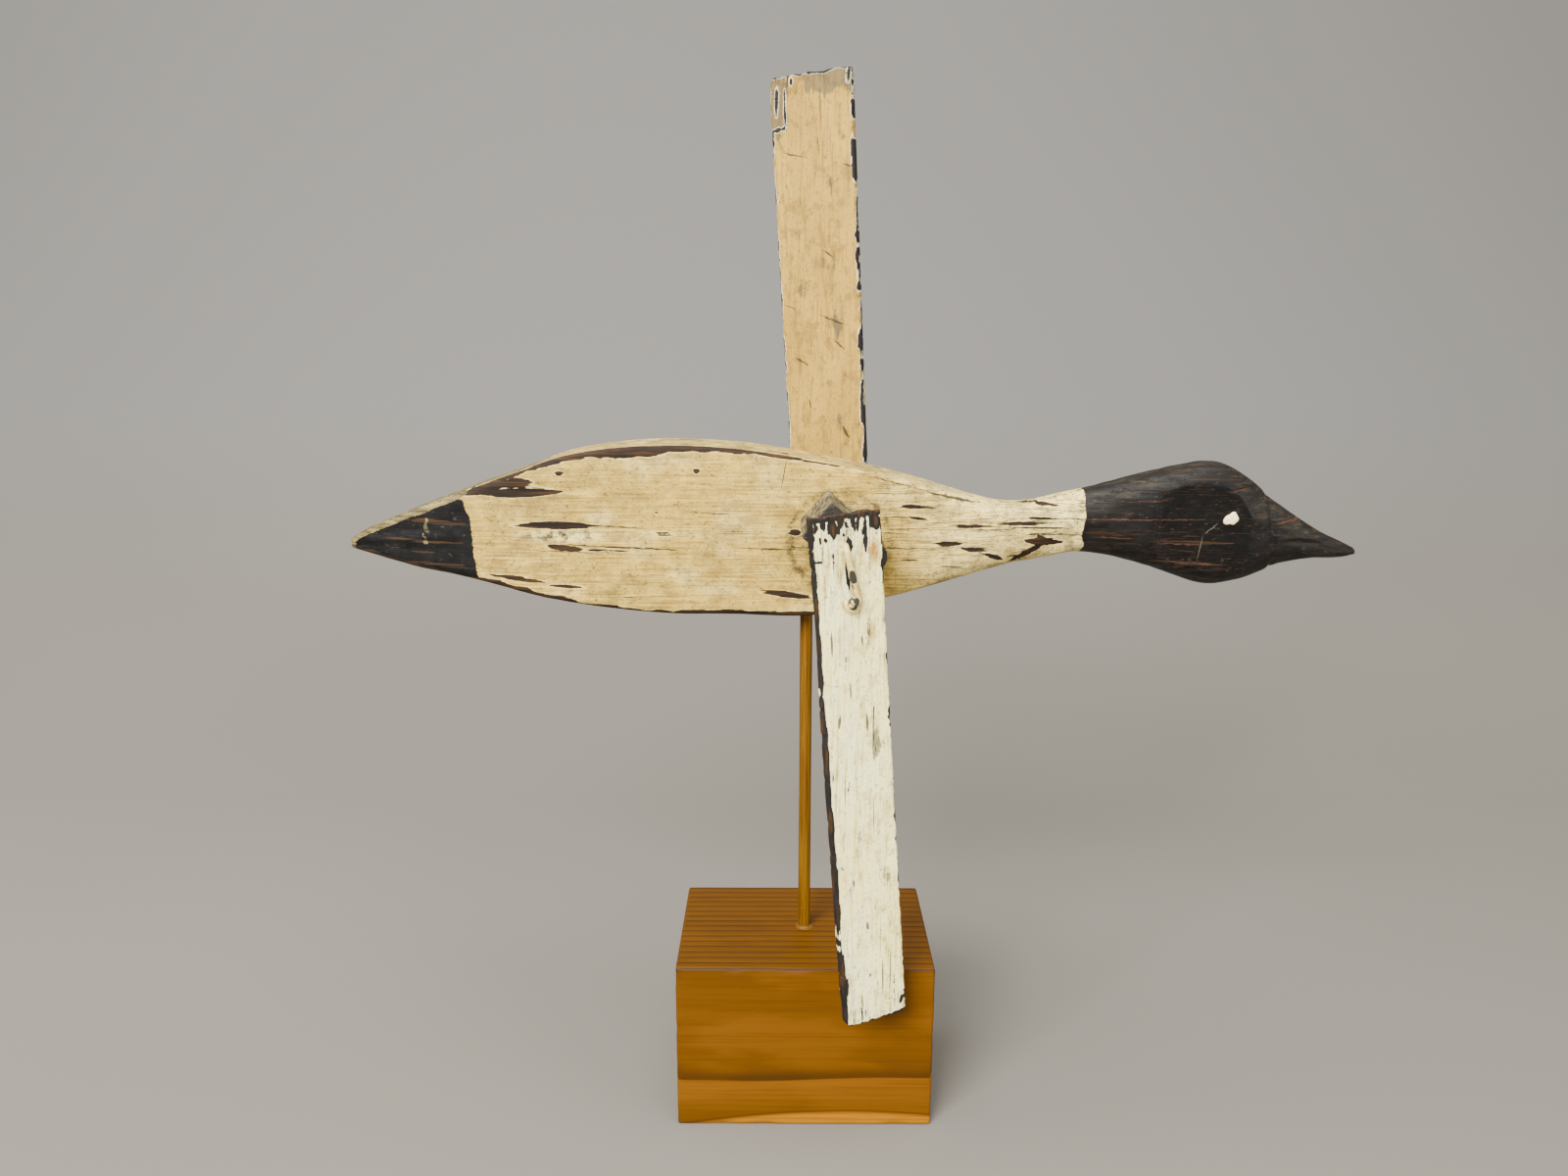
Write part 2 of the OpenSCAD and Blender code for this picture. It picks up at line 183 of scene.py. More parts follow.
def closed_tube(grid):
    """Points and faces of a grid of rings (rows, columns, 3), with a middle point closing each end."""
    rows, cols, _ = grid.shape
    points = np.concatenate([grid.reshape(-1, 3), [grid[0].mean(0), grid[-1].mean(0)]])
    ring = np.arange(cols)
    nxt = (ring + 1) % cols
    first, last = rows * cols, rows * cols + 1
    caps = [[b, a, first] for a, b in zip(ring, nxt)]
    caps += [[(rows - 1) * cols + a, (rows - 1) * cols + b, last] for a, b in zip(ring, nxt)]
    return points, [*tube_faces(rows, cols), *caps]


def lathe(profile, count=48):
    """A profile of [radius, height] turned round Z. Its first and last radii are near zero."""
    angle = np.linspace(0, 2 * math.pi, count, endpoint=False)
    r, z = np.array(profile, float).T
    grid = np.stack([r[:, None] * np.cos(angle), r[:, None] * np.sin(angle),
                     np.repeat(z[:, None], count, 1)], -1)
    return closed_tube(grid)


def sweep(path, radius, count=24):
    """A round tube along a path: rings square to it, carried without twist from one to the next."""
    path = np.asarray(path, float)
    along = np.gradient(path, axis=0)
    along /= np.linalg.norm(along, axis=1)[:, None]
    side = np.cross(along[0], (0.3, 0.2, 0.9))
    sides = []
    for d in along:
        side = side - d * (side @ d)
        side /= np.linalg.norm(side)
        sides.append(side)
    sides = np.array(sides)
    ups = np.cross(along, sides)
    angle = np.linspace(0, 2 * math.pi, count, endpoint=False)
    ring = np.cos(angle)[None, :, None] * sides[:, None] + np.sin(angle)[None, :, None] * ups[:, None]
    return closed_tube(path[:, None] + ring * np.asarray(radius).reshape(-1, 1, 1))


# ---------------------------------------------------------------- shader maths

def linear(r, g, b):
    """An sRGB colour of 0 to 255 as the linear colour that shaders take."""
    return tuple((c / 255 / 12.92 if c <= 10 else ((c / 255 + 0.055) / 1.055) ** 2.4)
                 for c in (r, g, b)) + (1.0,)


class Val:
    """A number socket. Arithmetic on it adds Math nodes to its material."""

    def __init__(self, finish, socket):
        self.finish, self.socket = finish, socket

    def math(self, operation, first, second=0.0):
        return self.finish.node("ShaderNodeMath", {"operation": operation}, {0: first, 1: second})

    def __add__(self, other): return self.math("ADD", self, other)
    def __radd__(self, other): return self.math("ADD", other, self)
    def __sub__(self, other): return self.math("SUBTRACT", self, other)
    def __rsub__(self, other): return self.math("SUBTRACT", other, self)
    def __mul__(self, other): return self.math("MULTIPLY", self, other)
    def __rmul__(self, other): return self.math("MULTIPLY", other, self)
    def __truediv__(self, other): return self.math("DIVIDE", self, other)
    def __pow__(self, other): return self.math("POWER", self, other)
    def __abs__(self): return self.math("ABSOLUTE", self)
    def over(self, other): return self.math("MAXIMUM", self, other)
    def under(self, other): return self.math("MINIMUM", self, other)


class Finish:
    """A material built from nodes."""

    def __init__(self, name):
        self.material = bpy.data.materials.new(name)
        self.material.use_nodes = True
        self.tree = self.material.node_tree
        self.shader = self.tree.nodes["Principled BSDF"]
        self.place = self.node("ShaderNodeTexCoord", {}, {}, "Object")

    def node(self, kind, settings, values, out=0):
        made = self.tree.nodes.new(kind)
        for name, value in settings.items():
            if name == "stops":
                while len(made.color_ramp.elements) < len(value):
                    made.color_ramp.elements.new(1.0)
                for element, (at, colour) in zip(made.color_ramp.elements, value):
                    element.position, element.color = at, colour
            else:
                setattr(made, name, value)
        for name, value in values.items():
            self.put(made.inputs[name], value)
        return Val(self, made.outputs[out])

    def put(self, socket, value):
        if isinstance(value, Val):
            self.tree.links.new(value.socket, socket)
        else:
            socket.default_value = value

    def mark(self, name):
        return self.node("ShaderNodeAttribute", {"attribute_name": name}, {}, "Fac")

    def axis(self, index, vector=None):
        return self.node("ShaderNodeSeparateXYZ", {}, {0: vector or self.place}, index)

    def scaled(self, sizes, vector=None, offset=(0, 0, 0)):
        """The place stretched so that one noise cell is sizes millimetres along each axis."""
        return self.node("ShaderNodeMapping", {"vector_type": "POINT"},
                         {"Vector": vector or self.place, "Location": offset,
                          "Scale": tuple(1 / (s * MM) for s in sizes)})

    def noise(self, sizes, detail=3.0, rough=0.55, offset=(0, 0, 0), warp=0.0, vector=None):
        return self.node("ShaderNodeTexNoise", {}, {
            "Vector": self.scaled(sizes, vector, offset), "Scale": 1.0, "Detail": detail,
            "Roughness": rough, "Distortion": warp}, "Fac")

    def step(self, low, high, value):
        """0 below low, 1 above high, smooth between."""
        return self.node("ShaderNodeMapRange", {"interpolation_type": "SMOOTHSTEP"},
                         {"Value": value, "From Min": low, "From Max": high}, "Result")

    def ramp(self, value, *stops):
        stops = [(at, linear(*shade)) for at, shade in stops]
        return self.node("ShaderNodeValToRGB", {"stops": stops}, {"Fac": value}, "Color")

    def mix(self, factor, first, second):
        """Blends two colours, each a socket or an sRGB triple."""
        first, second = (linear(*c) if isinstance(c, tuple) else c for c in (first, second))
        return self.node("ShaderNodeMix", {"data_type": "RGBA"}, {0: factor, 6: first, 7: second}, 2)

    def tone(self, colour, pattern, low, high, strength, shade):
        """Adds a shade where a pattern passes from low to high."""
        return self.mix(self.step(low, high, pattern) * strength, colour, shade)

    def line(self, start, end, half, vector):
        """1 on a line in the XZ plane between two places in millimetres, half its width thick."""
        a = np.array([start[0], 0, start[1]]) * MM
        d = np.array([end[0], 0, end[1]]) * MM - a
        rel = self.node("ShaderNodeVectorMath", {"operation": "SUBTRACT"}, {0: vector, 1: tuple(a)})
        dot = self.node("ShaderNodeVectorMath", {"operation": "DOT_PRODUCT"},
                        {0: rel, 1: tuple(d / (d @ d))}, "Value")
        dot = dot.over(0.0).under(1.0)
        near = self.node("ShaderNodeVectorMath", {"operation": "SCALE"}, {0: tuple(d), "Scale": dot})
        away = self.node("ShaderNodeVectorMath", {"operation": "DISTANCE"}, {0: rel, 1: near}, "Value")
        taper = half * MM * (0.3 + 2.8 * (dot * (1 - dot)))
        return self.step(0.0, 0.25 * MM, taper - away)

    def done(self, colour, roughness, height, depth, specular=0.5, metallic=0.0):
        """Joins the finish to its shader: depth is the real size in millimetres of height 0 to 1."""
        self.put(self.shader.inputs["Base Color"], colour)
        self.put(self.shader.inputs["Roughness"], roughness)
        self.put(self.shader.inputs["Specular IOR Level"], specular)
        self.put(self.shader.inputs["Metallic"], metallic)
        bump = self.node("ShaderNodeBump", {}, {"Height": height, "Distance": depth * MM, "Strength": 1.0})
        self.put(self.shader.inputs["Normal"], bump)
        return self.material


# ---------------------------------------------------------------- finishes

def flat_place(f):
    """The place with Y taken out, and roughened, so that lines drawn on a side have ragged edges."""
    x, z = f.axis(0), f.axis(2)
    ragged = (f.noise((5, 5, 1.2), 3.0) - 0.5) * (2.2 * MM)
    return f.node("ShaderNodeCombineXYZ", {}, {0: x, 1: 0.0, 2: z + ragged})


def drawn_lines(f, lines, vector):
    """Every line of a list [x0, z0, x1, z1, half width] together."""
    total = None
    for x0, z0, x1, z1, half in lines:
        one = f.line((x0, z0), (x1, z1), half, vector)
        total = one if total is None else total.over(one)
    return total


# Thin cracks on the bird's sides, [x0, z0, x1, z1, half width]
BODY_CRACKS = [[-118, 311, -78, 309, 0.4], [-120, 301, -58, 298, 0.5], [-12, 300, 70, 299.5, 0.4],
               [-60, 317, -34, 316, 0.3], [43, 320, 62, 319.5, 0.8], [57, 327, 84, 321, 0.8],
               [60, 302, 78, 302.5, 0.7], [72, 300, 90, 299, 0.6], [83, 297.5, 95, 294, 0.7],
               [92, 312, 120, 311.5, 0.6], [64, 290.5, 76, 290.5, 0.5], [104, 306, 128, 306, 0.5],
               [40, 309, 62, 309, 0.3], [78, 309, 100, 308, 0.45], [-140, 298, -84, 296.5, 0.3],
               [-10, 344, -13, 328, 0.3], [-36, 299.5, 0, 298.5, 0.4], [24, 336, 60, 327, 0.3]]
HEAD_CRACKS = [[104, 313.5, 203, 313.5, 0.4], [228, 311, 247, 313.5, 0.7], [168, 302, 196, 301, 0.4],
               [172, 293, 207, 291, 0.4], [203, 327, 216, 329, 0.4], [150, 322, 176, 323, 0.4],
               [140, 305, 160, 304, 0.4]]
# A curved scratch running down from the right eye
SCRATCH = [[200, 312, 193, 306, 0.45], [193, 306, 191, 293, 0.4]]


def duck_finish():
    """Cream and black paint, cracked along the grain, over brown wood."""
    f = Finish("duck_paint")
    rough_place = flat_place(f)
    fibre = f.noise((34, 7, 1.5), 5.0, 0.62, warp=0.3)
    streak = f.noise((60, 5, 2.2), 4.0, 0.6, offset=(3, 1, 2))
    cloud = f.noise((52, 40, 30), 3.0, 0.5)
    mottle = f.noise((8, 9, 7), 6.0, 0.68, offset=(5, 0, 0))
    speck = f.noise((1.5, 1.6, 1.2), 2.0, 0.6)
    pit = f.noise((3.4, 3, 2.2), 4.0, 0.7, offset=(1, 2, 3))
    wear, loss, dark, grey = f.mark("wear"), f.mark("loss"), f.mark("dark"), f.mark("grey")

    wood = f.ramp(fibre, (0.36, (16, 10, 5)), (0.5, (34, 21, 9)), (0.66, (62, 40, 17)))
    weathered = f.ramp(fibre, (0.38, (38, 34, 22)), (0.5, (80, 73, 48)), (0.64, (126, 115, 76)))

    cream = f.ramp(cloud, (0.34, (180, 145, 54)), (0.5, (166, 134, 48)), (0.66, (140, 113, 46)))
    white = f.ramp(mottle, (0.38, (246, 222, 140)), (0.6, (190, 176, 118)))
    cream = f.mix(f.mark("pale"), cream, white)
    cream = f.tone(cream, mottle, 0.5, 0.6, 0.3, (132, 97, 32))
    cream = f.tone(cream, mottle, 0.48, 0.38, 0.3, (222, 188, 82))
    cream = f.tone(cream, fibre, 0.48, 0.36, 0.35, (122, 96, 36))
    grain = f.noise((24, 4, 0.75), 4.0, 0.6, offset=(9, 3, 1))
    cream = f.tone(cream, grain, 0.45, 0.36, 0.5, (92, 72, 30))
    cream = f.tone(cream, grain, 0.55, 0.64, 0.4, (228, 200, 104))
    cream = f.tone(cream, speck, 0.58, 0.65, 0.5, (80, 60, 24))
    cream = f.tone(cream, pit, 0.62, 0.66, 0.6, (62, 48, 28))
    # Grime and painted shade: dark round the hub blocks and on the board's top band
    grime = f.mark("dirt") * f.step(0.32, 0.62, speck * 0.4 + mottle * 0.6)
    cream = f.mix(grime, cream, (50, 43, 28))

    soot = f.ramp(mottle, (0.3, (3, 3, 3)), (0.7, (11, 10, 9)))
    faded = f.ramp(streak, (0.38, (9, 8, 6)), (0.52, (24, 21, 15)), (0.66, (52, 47, 33)))
    soot = f.mix(f.mark("fade") * f.step(0.3, 0.55, streak + 0.12), soot, faded)
    soot = f.tone(soot, pit, 0.61, 0.67, 0.45, (70, 64, 50))

    # Where paint is missing: placed patches with torn edges, and flecks where the wear is strong
    ragged = (fibre - 0.5) * 3.2 + (mottle - 0.5) * 1.4
    black = f.step(-0.15, 0.15, dark + (mottle - 0.5) * 2.6 + (fibre - 0.5) * 1.5)
    fleck = f.step(0.0, 0.012, streak + wear * 0.14 - 0.735)
    bare = f.step(-0.1, 0.1, loss + ragged).over(fleck)
    hair = f.noise((46, 4, 1.0), 3.0, 0.6, offset=(7, 2, 4), warp=0.5)
    hair_line = f.step(0.012, 0.004, abs(hair - 0.5)) * f.step(0.42, 0.85, wear + mottle * 0.3)
    cracks = drawn_lines(f, BODY_CRACKS + HEAD_CRACKS, rough_place)
    scratch = drawn_lines(f, SCRATCH, rough_place)
    open_crack = cracks.over(hair_line * 0.75)

    old = f.step(-0.12, 0.12, grey + (fibre - 0.5) * 1.6)
    colour = f.mix(black, cream, soot)
    # A painted highlight: a pale rim round the bare patches on the cream, where raised paint edges catch the
    # light
    lifted_edge_highlight = f.step(-0.7, -0.1, loss + ragged) * (1 - bare) * (1 - black)
    colour = f.mix(lifted_edge_highlight * 0.45, colour, (248, 224, 140))
    colour = f.mix(bare, colour, wood)
    colour = f.mix(old * 0.85, colour, weathered)
    colour = f.mix(open_crack * 0.92, colour, f.mix(black, (26, 17, 11), (66, 40, 24)))
    colour = f.mix(scratch * 0.6, colour, (96, 90, 78))

    roughness = 0.52 + bare * 0.22 + (mottle - 0.5) * 0.3 - f.mark("gloss") * 0.14
    height = (1 - bare) * 0.5 - open_crack * 0.45 + fibre * 0.12 + mottle * 0.2 + speck * 0.04
    return f.done(colour, roughness, height, 0.6, specular=0.2)


# Thin cracks and scratches on the faces of the wings, [x0, z0, x1, z1, half width]
WING_CRACKS = ([[14.5, 231, 14, 225, 0.8], [27, 231, 27.5, 222, 0.7], [10, 271, 10.5, 259, 0.6],
                [19, 247, 19.5, 238, 0.5], [29, 127, 29.5, 123, 0.8], [37, 106, 37.5, 88, 0.5],
                [24, 268, 24.5, 263, 0.6], [22, 150, 22.3, 146, 0.5], [41, 112, 41, 84, 0.4],
                [27, 90, 27.5, 82, 0.5], [17, 205, 17.5, 186, 0.3], [31, 190, 31.5, 170, 0.3]],
               [[-13, 493, 0, 490, 0.5], [17, 486, 26, 484, 0.5], [9, 443.5, 13.5, 440, 0.6],
                [7, 410.5, 20, 405.5, 0.6], [-6, 388, 1.5, 384, 0.6], [14.5, 397.5, 20.5, 392.5, 0.5],
                [6, 524, 6.5, 503, 0.35], [-12, 416, -5, 413, 0.4], [20, 352, 23, 346, 0.9],
                [2, 366, 3, 361, 0.5], [12, 480, 12.5, 470, 0.3], [5, 500, 6, 490, 0.3]])


def wing_finish(side, white, warm, stain):
    """White paint flaking off a dark undercoat and brown board, its grain running root to tip."""
    f = Finish(SIDES[side] + "_wing_paint")
    fibre = f.noise((1.6, 7, 26), 5.0, 0.62, warp=0.25)
    streak = f.noise((2.4, 6, 40), 4.0, 0.6, offset=(2, 4, 1))
    mottle = f.noise((6, 7, 8), 6.0, 0.68, offset=(3, 3, 0))
    cloud = f.noise((22, 20, 48), 3.0, 0.5)
    speck = f.noise((1.1, 1.2, 1.5), 2.0, 0.6)
    pit = f.noise((2.0, 2.0, 3.2), 4.0, 0.7, offset=(1, 6, 3))
    wear, loss = f.mark("wear"), f.mark("loss")

    wood = f.ramp(fibre, (0.3, (24, 15, 7)), (0.5, (44, 28, 13)), (0.66, (72, 47, 22)))
    primer = f.ramp(mottle, (0.3, (14, 13, 12)), (0.7, (34, 30, 26)))
    paint = f.ramp(cloud, (0.3, white), (0.7, warm))
    paint = f.tone(paint, mottle, 0.5, 0.6, 0.5, stain)
    paint = f.tone(paint, fibre, 0.48, 0.36, 0.4, stain)
    paint = f.tone(paint, speck, 0.6, 0.66, 0.5, (96, 76, 38))
    paint = f.tone(paint, pit, 0.62, 0.66, 0.6, (60, 48, 30))
    paint = f.mix(f.mark("rust") * f.step(0.36, 0.54, mottle), paint, (166, 112, 26))
    grain = f.noise((0.8, 4, 22), 4.0, 0.6, offset=(4, 2, 8))
    paint = f.tone(paint, grain, 0.44, 0.36, 0.45, (104, 86, 46))
    worn = f.step(0.0, 0.08, f.mark("grime") * 0.5 + (streak - 0.5) * 0.8 + (mottle - 0.5) * 0.5 - 0.2)
    paint = f.mix(worn * 0.7, paint, (74, 68, 54))

    ragged = (fibre - 0.5) * 3.0 + (mottle - 0.5) * 2.4
    fleck = f.step(0.0, 0.012, streak + wear * 0.15 - 0.755)
    bare = f.step(-0.08, 0.08, loss + ragged).over(fleck)
    deep = f.step(0.5, 0.9, loss * 0.3 + ragged * 0.25 + (streak - 0.45) * 2.2)
    hair = f.noise((1.1, 4, 34), 3.0, 0.6, offset=(6, 1, 2), warp=0.5)
    hair_line = f.step(0.01, 0.003, abs(hair - 0.5)) * f.step(0.4, 0.85, wear + mottle * 0.4)
    cracks = drawn_lines(f, WING_CRACKS[side], flat_place(f)).over(hair_line * 0.7)

    # A painted highlight: a near-white rim round the bare patches, where raised paint edges catch the light
    lifted_edge_highlight = f.step(-0.7, -0.1, loss + ragged) * (1 - bare)
    colour = f.mix(lifted_edge_highlight * 0.5, paint, (255, 248, 214))
    colour = f.mix(bare, colour, f.mix(deep, primer, wood))
    colour = f.mix(cracks * 0.85, colour, (44, 34, 23))
    roughness = 0.56 + bare * 0.15 + (mottle - 0.5) * 0.3
    height = (1 - bare) * 0.5 + fibre * 0.12 + mottle * 0.2 - cracks * 0.4 + speck * 0.05
    return f.done(colour, roughness, height, 0.65, specular=0.22)


def block_finish():
    """Honey-stained softwood. Rings 5.4 mm apart lie round a pith far in front, so they run
    close together over the top and almost flat along the front, where only two show."""
    f = Finish("stand_wood")
    x, y, z = f.axis(0), f.axis(1), f.axis(2)
    bend = (f.noise((150, 60, 60), 2.0, 0.4) - 0.5) * 0.0016
    cy, cz = y + PITH_AWAY, z - PITH_Z
    ring = ((cy * cy + cz * cz) ** 0.5 + bend) / RING_GAP + 0.26
    saw = f.node("ShaderNodeMath", {"operation": "FRACT"}, {0: ring})
    late = f.step(0.8, 0.965, saw) * f.step(1.0, 0.985, saw)
    # The lowest ring rises to an arch near the foot of the block
    arch = z - 0.0085 + (x - 0.022) * (x - 0.022) * 1.1
    foot_line = f.step(-0.0016, -0.0002, arch) * f.step(0.0004, 0.0, arch)
    fibre = f.noise((60, 1.0, 1.0), 5.0, 0.6)
    band = f.noise((140, 9, 6), 3.0, 0.5)
    cloud = f.noise((70, 34, 26), 3.0, 0.5)
    colour = f.ramp(saw, (0.0, (113, 68, 0)), (0.35, (99, 60, 0)), (0.8, (84, 50, 0)))
    colour = f.tone(colour, band, 0.46, 0.6, 0.4, (82, 47, 0))
    colour = f.tone(colour, cloud, 0.44, 0.6, 0.35, (118, 72, 0))
    colour = f.mix(late * 0.7, colour, (48, 26, 0))
    colour = f.mix(foot_line * 0.6, colour, (58, 30, 0))
    colour = f.tone(colour, arch, 0.0, -0.003, 0.8, (166, 106, 0))
    colour = f.tone(colour, fibre, 0.5, 0.62, 0.35, (72, 41, 0))
    # The top is painted darker as painted shade, and its late rings are darker still
    painted_top_shade = f.step(0.086, 0.0888, z)
    colour = f.mix(painted_top_shade * 0.4, colour, (52, 30, 0))
    colour = f.mix(late * painted_top_shade * 0.75, colour, (26, 14, 0))
    dust = f.step(0.7, 0.74, f.noise((1.8, 1.8, 1.8), 3.0, 0.7)) * 0.25
    colour = f.mix(dust, colour, (150, 110, 60))
    height = (1 - late) * 0.5 + fibre * 0.3
    return f.done(colour, 0.46 + fibre * 0.12, height, 0.1, specular=0.16)


def dowel_finish():
    """The same stain on a thin turned dowel, its grain running up."""
    f = Finish("dowel_wood")
    fibre = f.noise((0.9, 0.9, 40), 4.0, 0.6)
    spot = f.step(0.7, 0.73, f.noise((1.4, 1.4, 3), 3.0, 0.7, offset=(4, 1, 2)))
    colour = f.ramp(fibre, (0.36, (72, 44, 0)), (0.5, (96, 62, 0)), (0.64, (114, 78, 0)))
    colour = f.mix(spot * 0.5, colour, (170, 130, 60))
    return f.done(colour, 0.44 + fibre * 0.1, fibre, 0.08, specular=0.18)


def hub_finish():
    """Grey weathered blocks with thin cream paint left in the grain."""
    f = Finish("hub_wood")
    fibre = f.noise((7, 12, 1.6), 5.0, 0.62)
    mottle = f.noise((4, 4, 4), 6.0, 0.68)
    wood = f.ramp(fibre, (0.36, (22, 19, 12)), (0.64, (66, 58, 38)))
    left = f.step(0.48, 0.54, mottle + (fibre - 0.5) * 0.6)
    colour = f.mix(left * 0.7, wood, (136, 118, 72))
    # Painted shade with some grime at the block's ends and worn corner
    colour = f.mix(f.mark("dirt") * f.step(0.2, 0.5, mottle + 0.1), colour, (24, 21, 17))
    return f.done(colour, 0.7 + (mottle - 0.5) * 0.2, left * 0.4 + fibre * 0.5, 0.6)


def rod_finish():
    """Thick cream paint on steel, chipped through to dark metal."""
    f = Finish("painted_rod")
    mottle = f.noise((3, 3, 3), 5.0, 0.62)
    cloud = f.noise((12, 12, 9), 2.0, 0.5)
    edge = f.mark("loss") + (mottle - 0.5) * 2.0
    chip = f.step(0.64, 0.66, mottle).over(f.step(-0.05, 0.05, edge))
    metal = f.ramp(mottle, (0.3, (16, 15, 14)), (0.7, (40, 36, 30)))
    paint = f.ramp(cloud, (0.4, (232, 204, 124)), (0.6, (168, 140, 74)))
    paint = f.tone(paint, edge, -0.5, -0.05, 0.4, (120, 100, 66))
    # Painted shade, patchy like grime, on the rod's left side and one side of each screw head
    paint = f.mix(f.mark("dirt") * f.step(0.36, 0.54, mottle) * 0.9, paint, (46, 38, 26))
    colour = f.mix(chip, paint, metal)
    return f.done(colour, 0.48 + chip * 0.1, (1 - chip) * 0.6 + mottle * 0.3, 0.35)


def metal_finish(name, shade, light, metallic):
    """Dull old metal, blotched by age."""
    f = Finish(name)
    mottle = f.noise((2.5, 2.5, 2.5), 5.0, 0.65)
    colour = f.ramp(mottle, (0.3, shade), (0.7, light))
    return f.done(colour, 0.5 + mottle * 0.25, mottle, 0.15, metallic=metallic)


def eye_finish():
    """A cream chip of old paint, blotched with a dull pinkish brown."""
    f = Finish("eye_paint")
    mottle = f.noise((2.4, 2.4, 2.4), 4.0, 0.65)
    colour = f.ramp(mottle, (0.35, (236, 204, 148)), (0.6, (255, 236, 184)), (0.72, (150, 108, 78)))
    return f.done(colour, 0.55 + mottle * 0.1, mottle, 0.25)


def glue_finish():
    f = Finish("glue_ring")
    mottle = f.noise((1.5, 1.5, 1.5), 3.0, 0.6)
    colour = f.ramp(mottle, (0.3, (76, 45, 0)), (0.7, (108, 70, 14)))
    return f.done(colour, 0.36 + mottle * 0.1, mottle, 0.1, specular=0.25)


def floor_finish():
    """Seamless pale paper."""
    f = Finish("backdrop")
    cloud = f.noise((900, 900, 700), 2.0, 0.5)
    colour = f.ramp(cloud, (0.3, (107, 103, 95)), (0.7, (113, 109, 101)))
    colour = f.mix(f.step(0.02, 0.3, f.axis(2)), colour, (113, 111, 107))
    return f.done(colour, 0.9 + cloud * 0.05, cloud, 0.1, specular=0.1)


# ---------------------------------------------------------------- the bird

# Bare patches on the bird's sides as strokes [x0, z0, x1, z1, half thickness], tail to head
BARE_PATCHES = [[-168, 324.5, -142, 331.5, 3.0], [-160, 325, -118, 327, 2.7],
                [-152, 329, -132, 331.5, 2.4],
                [-10, 307, -2.4, 307, 1.5],
                [-145, 310.5, -102, 310, 2.0], [-128, 300.5, -108, 298, 1.5], [-112, 298, -84, 298, 0.8],
                [-76, 306.5, -64, 306.5, 0.8], [-74, 316.5, -72, 316.5, 0.8], [-55, 337.5, -52, 336.5, 1.3],
                [-122, 335.5, -117, 335.5, 1.2], [-24, 278, 6, 274.5, 1.5], [-126, 280.5, -108, 279.5, 0.8],
                [-160, 286, -128, 282, 1.0], [60, 302, 76, 302, 1.0], [57, 319.5, 43, 320, 0.9],
                [48, 315, 62, 313, 0.7], [90, 311.5, 118, 311, 0.8], [64, 328, 82, 321.5, 0.9],
                [96, 322, 126, 319.5, 0.7], [106, 303, 126, 301.5, 2.0], [120, 304, 98, 291.5, 1.7],
                [112, 306, 118, 300, 1.6], [86, 297, 96, 293.5, 1.3], [74, 299.5, 88, 298.5, 0.8],
                [66, 311, 92, 310, 0.6], [104, 314, 122, 313.5, 0.7]]
# Thin brown scratches through the black paint of the tail and head
BLACK_SCRATCHES = [[-198, 311.5, -164, 310, 1.0], [-214, 302.5, -164, 300.5, 0.8],
                   [-196, 291, -160, 288, 1.1],
                   [-206, 297, -180, 295, 0.6], [166, 303, 208, 301.5, 0.8], [168, 293.5, 206, 290.5, 0.9],
                   [203, 327, 216, 329.5, 0.7], [134, 307, 160, 305.5, 0.6], [176, 299, 196, 296, 0.5]]
# How far paint is torn down from the board's top edge and up from its bottom edge: [x, millimetres]
TOP_TEAR = [[-166, 0], [-150, 1.6], [-130, 1.2], [-116, 2.6], [-102, 2.8], [-92, 5.0], [-76, 4.8],
            [-66, 2.2], [-48, 1.9], [-30, 1.0], [0, 1.2], [12, 0.4], [30, -0.4], [60, -1]]
FOOT_TEAR = [[-227, 1.2], [-196, 1.9], [-176, 0.8], [-166, 0.4], [-158, 2.2], [-128, 2.4],
             [-112, 0.9], [-60, 1.1], [-40, 1.9], [0, 2.2], [14, 0.8],
             [40, -0.6], [80, -1]]


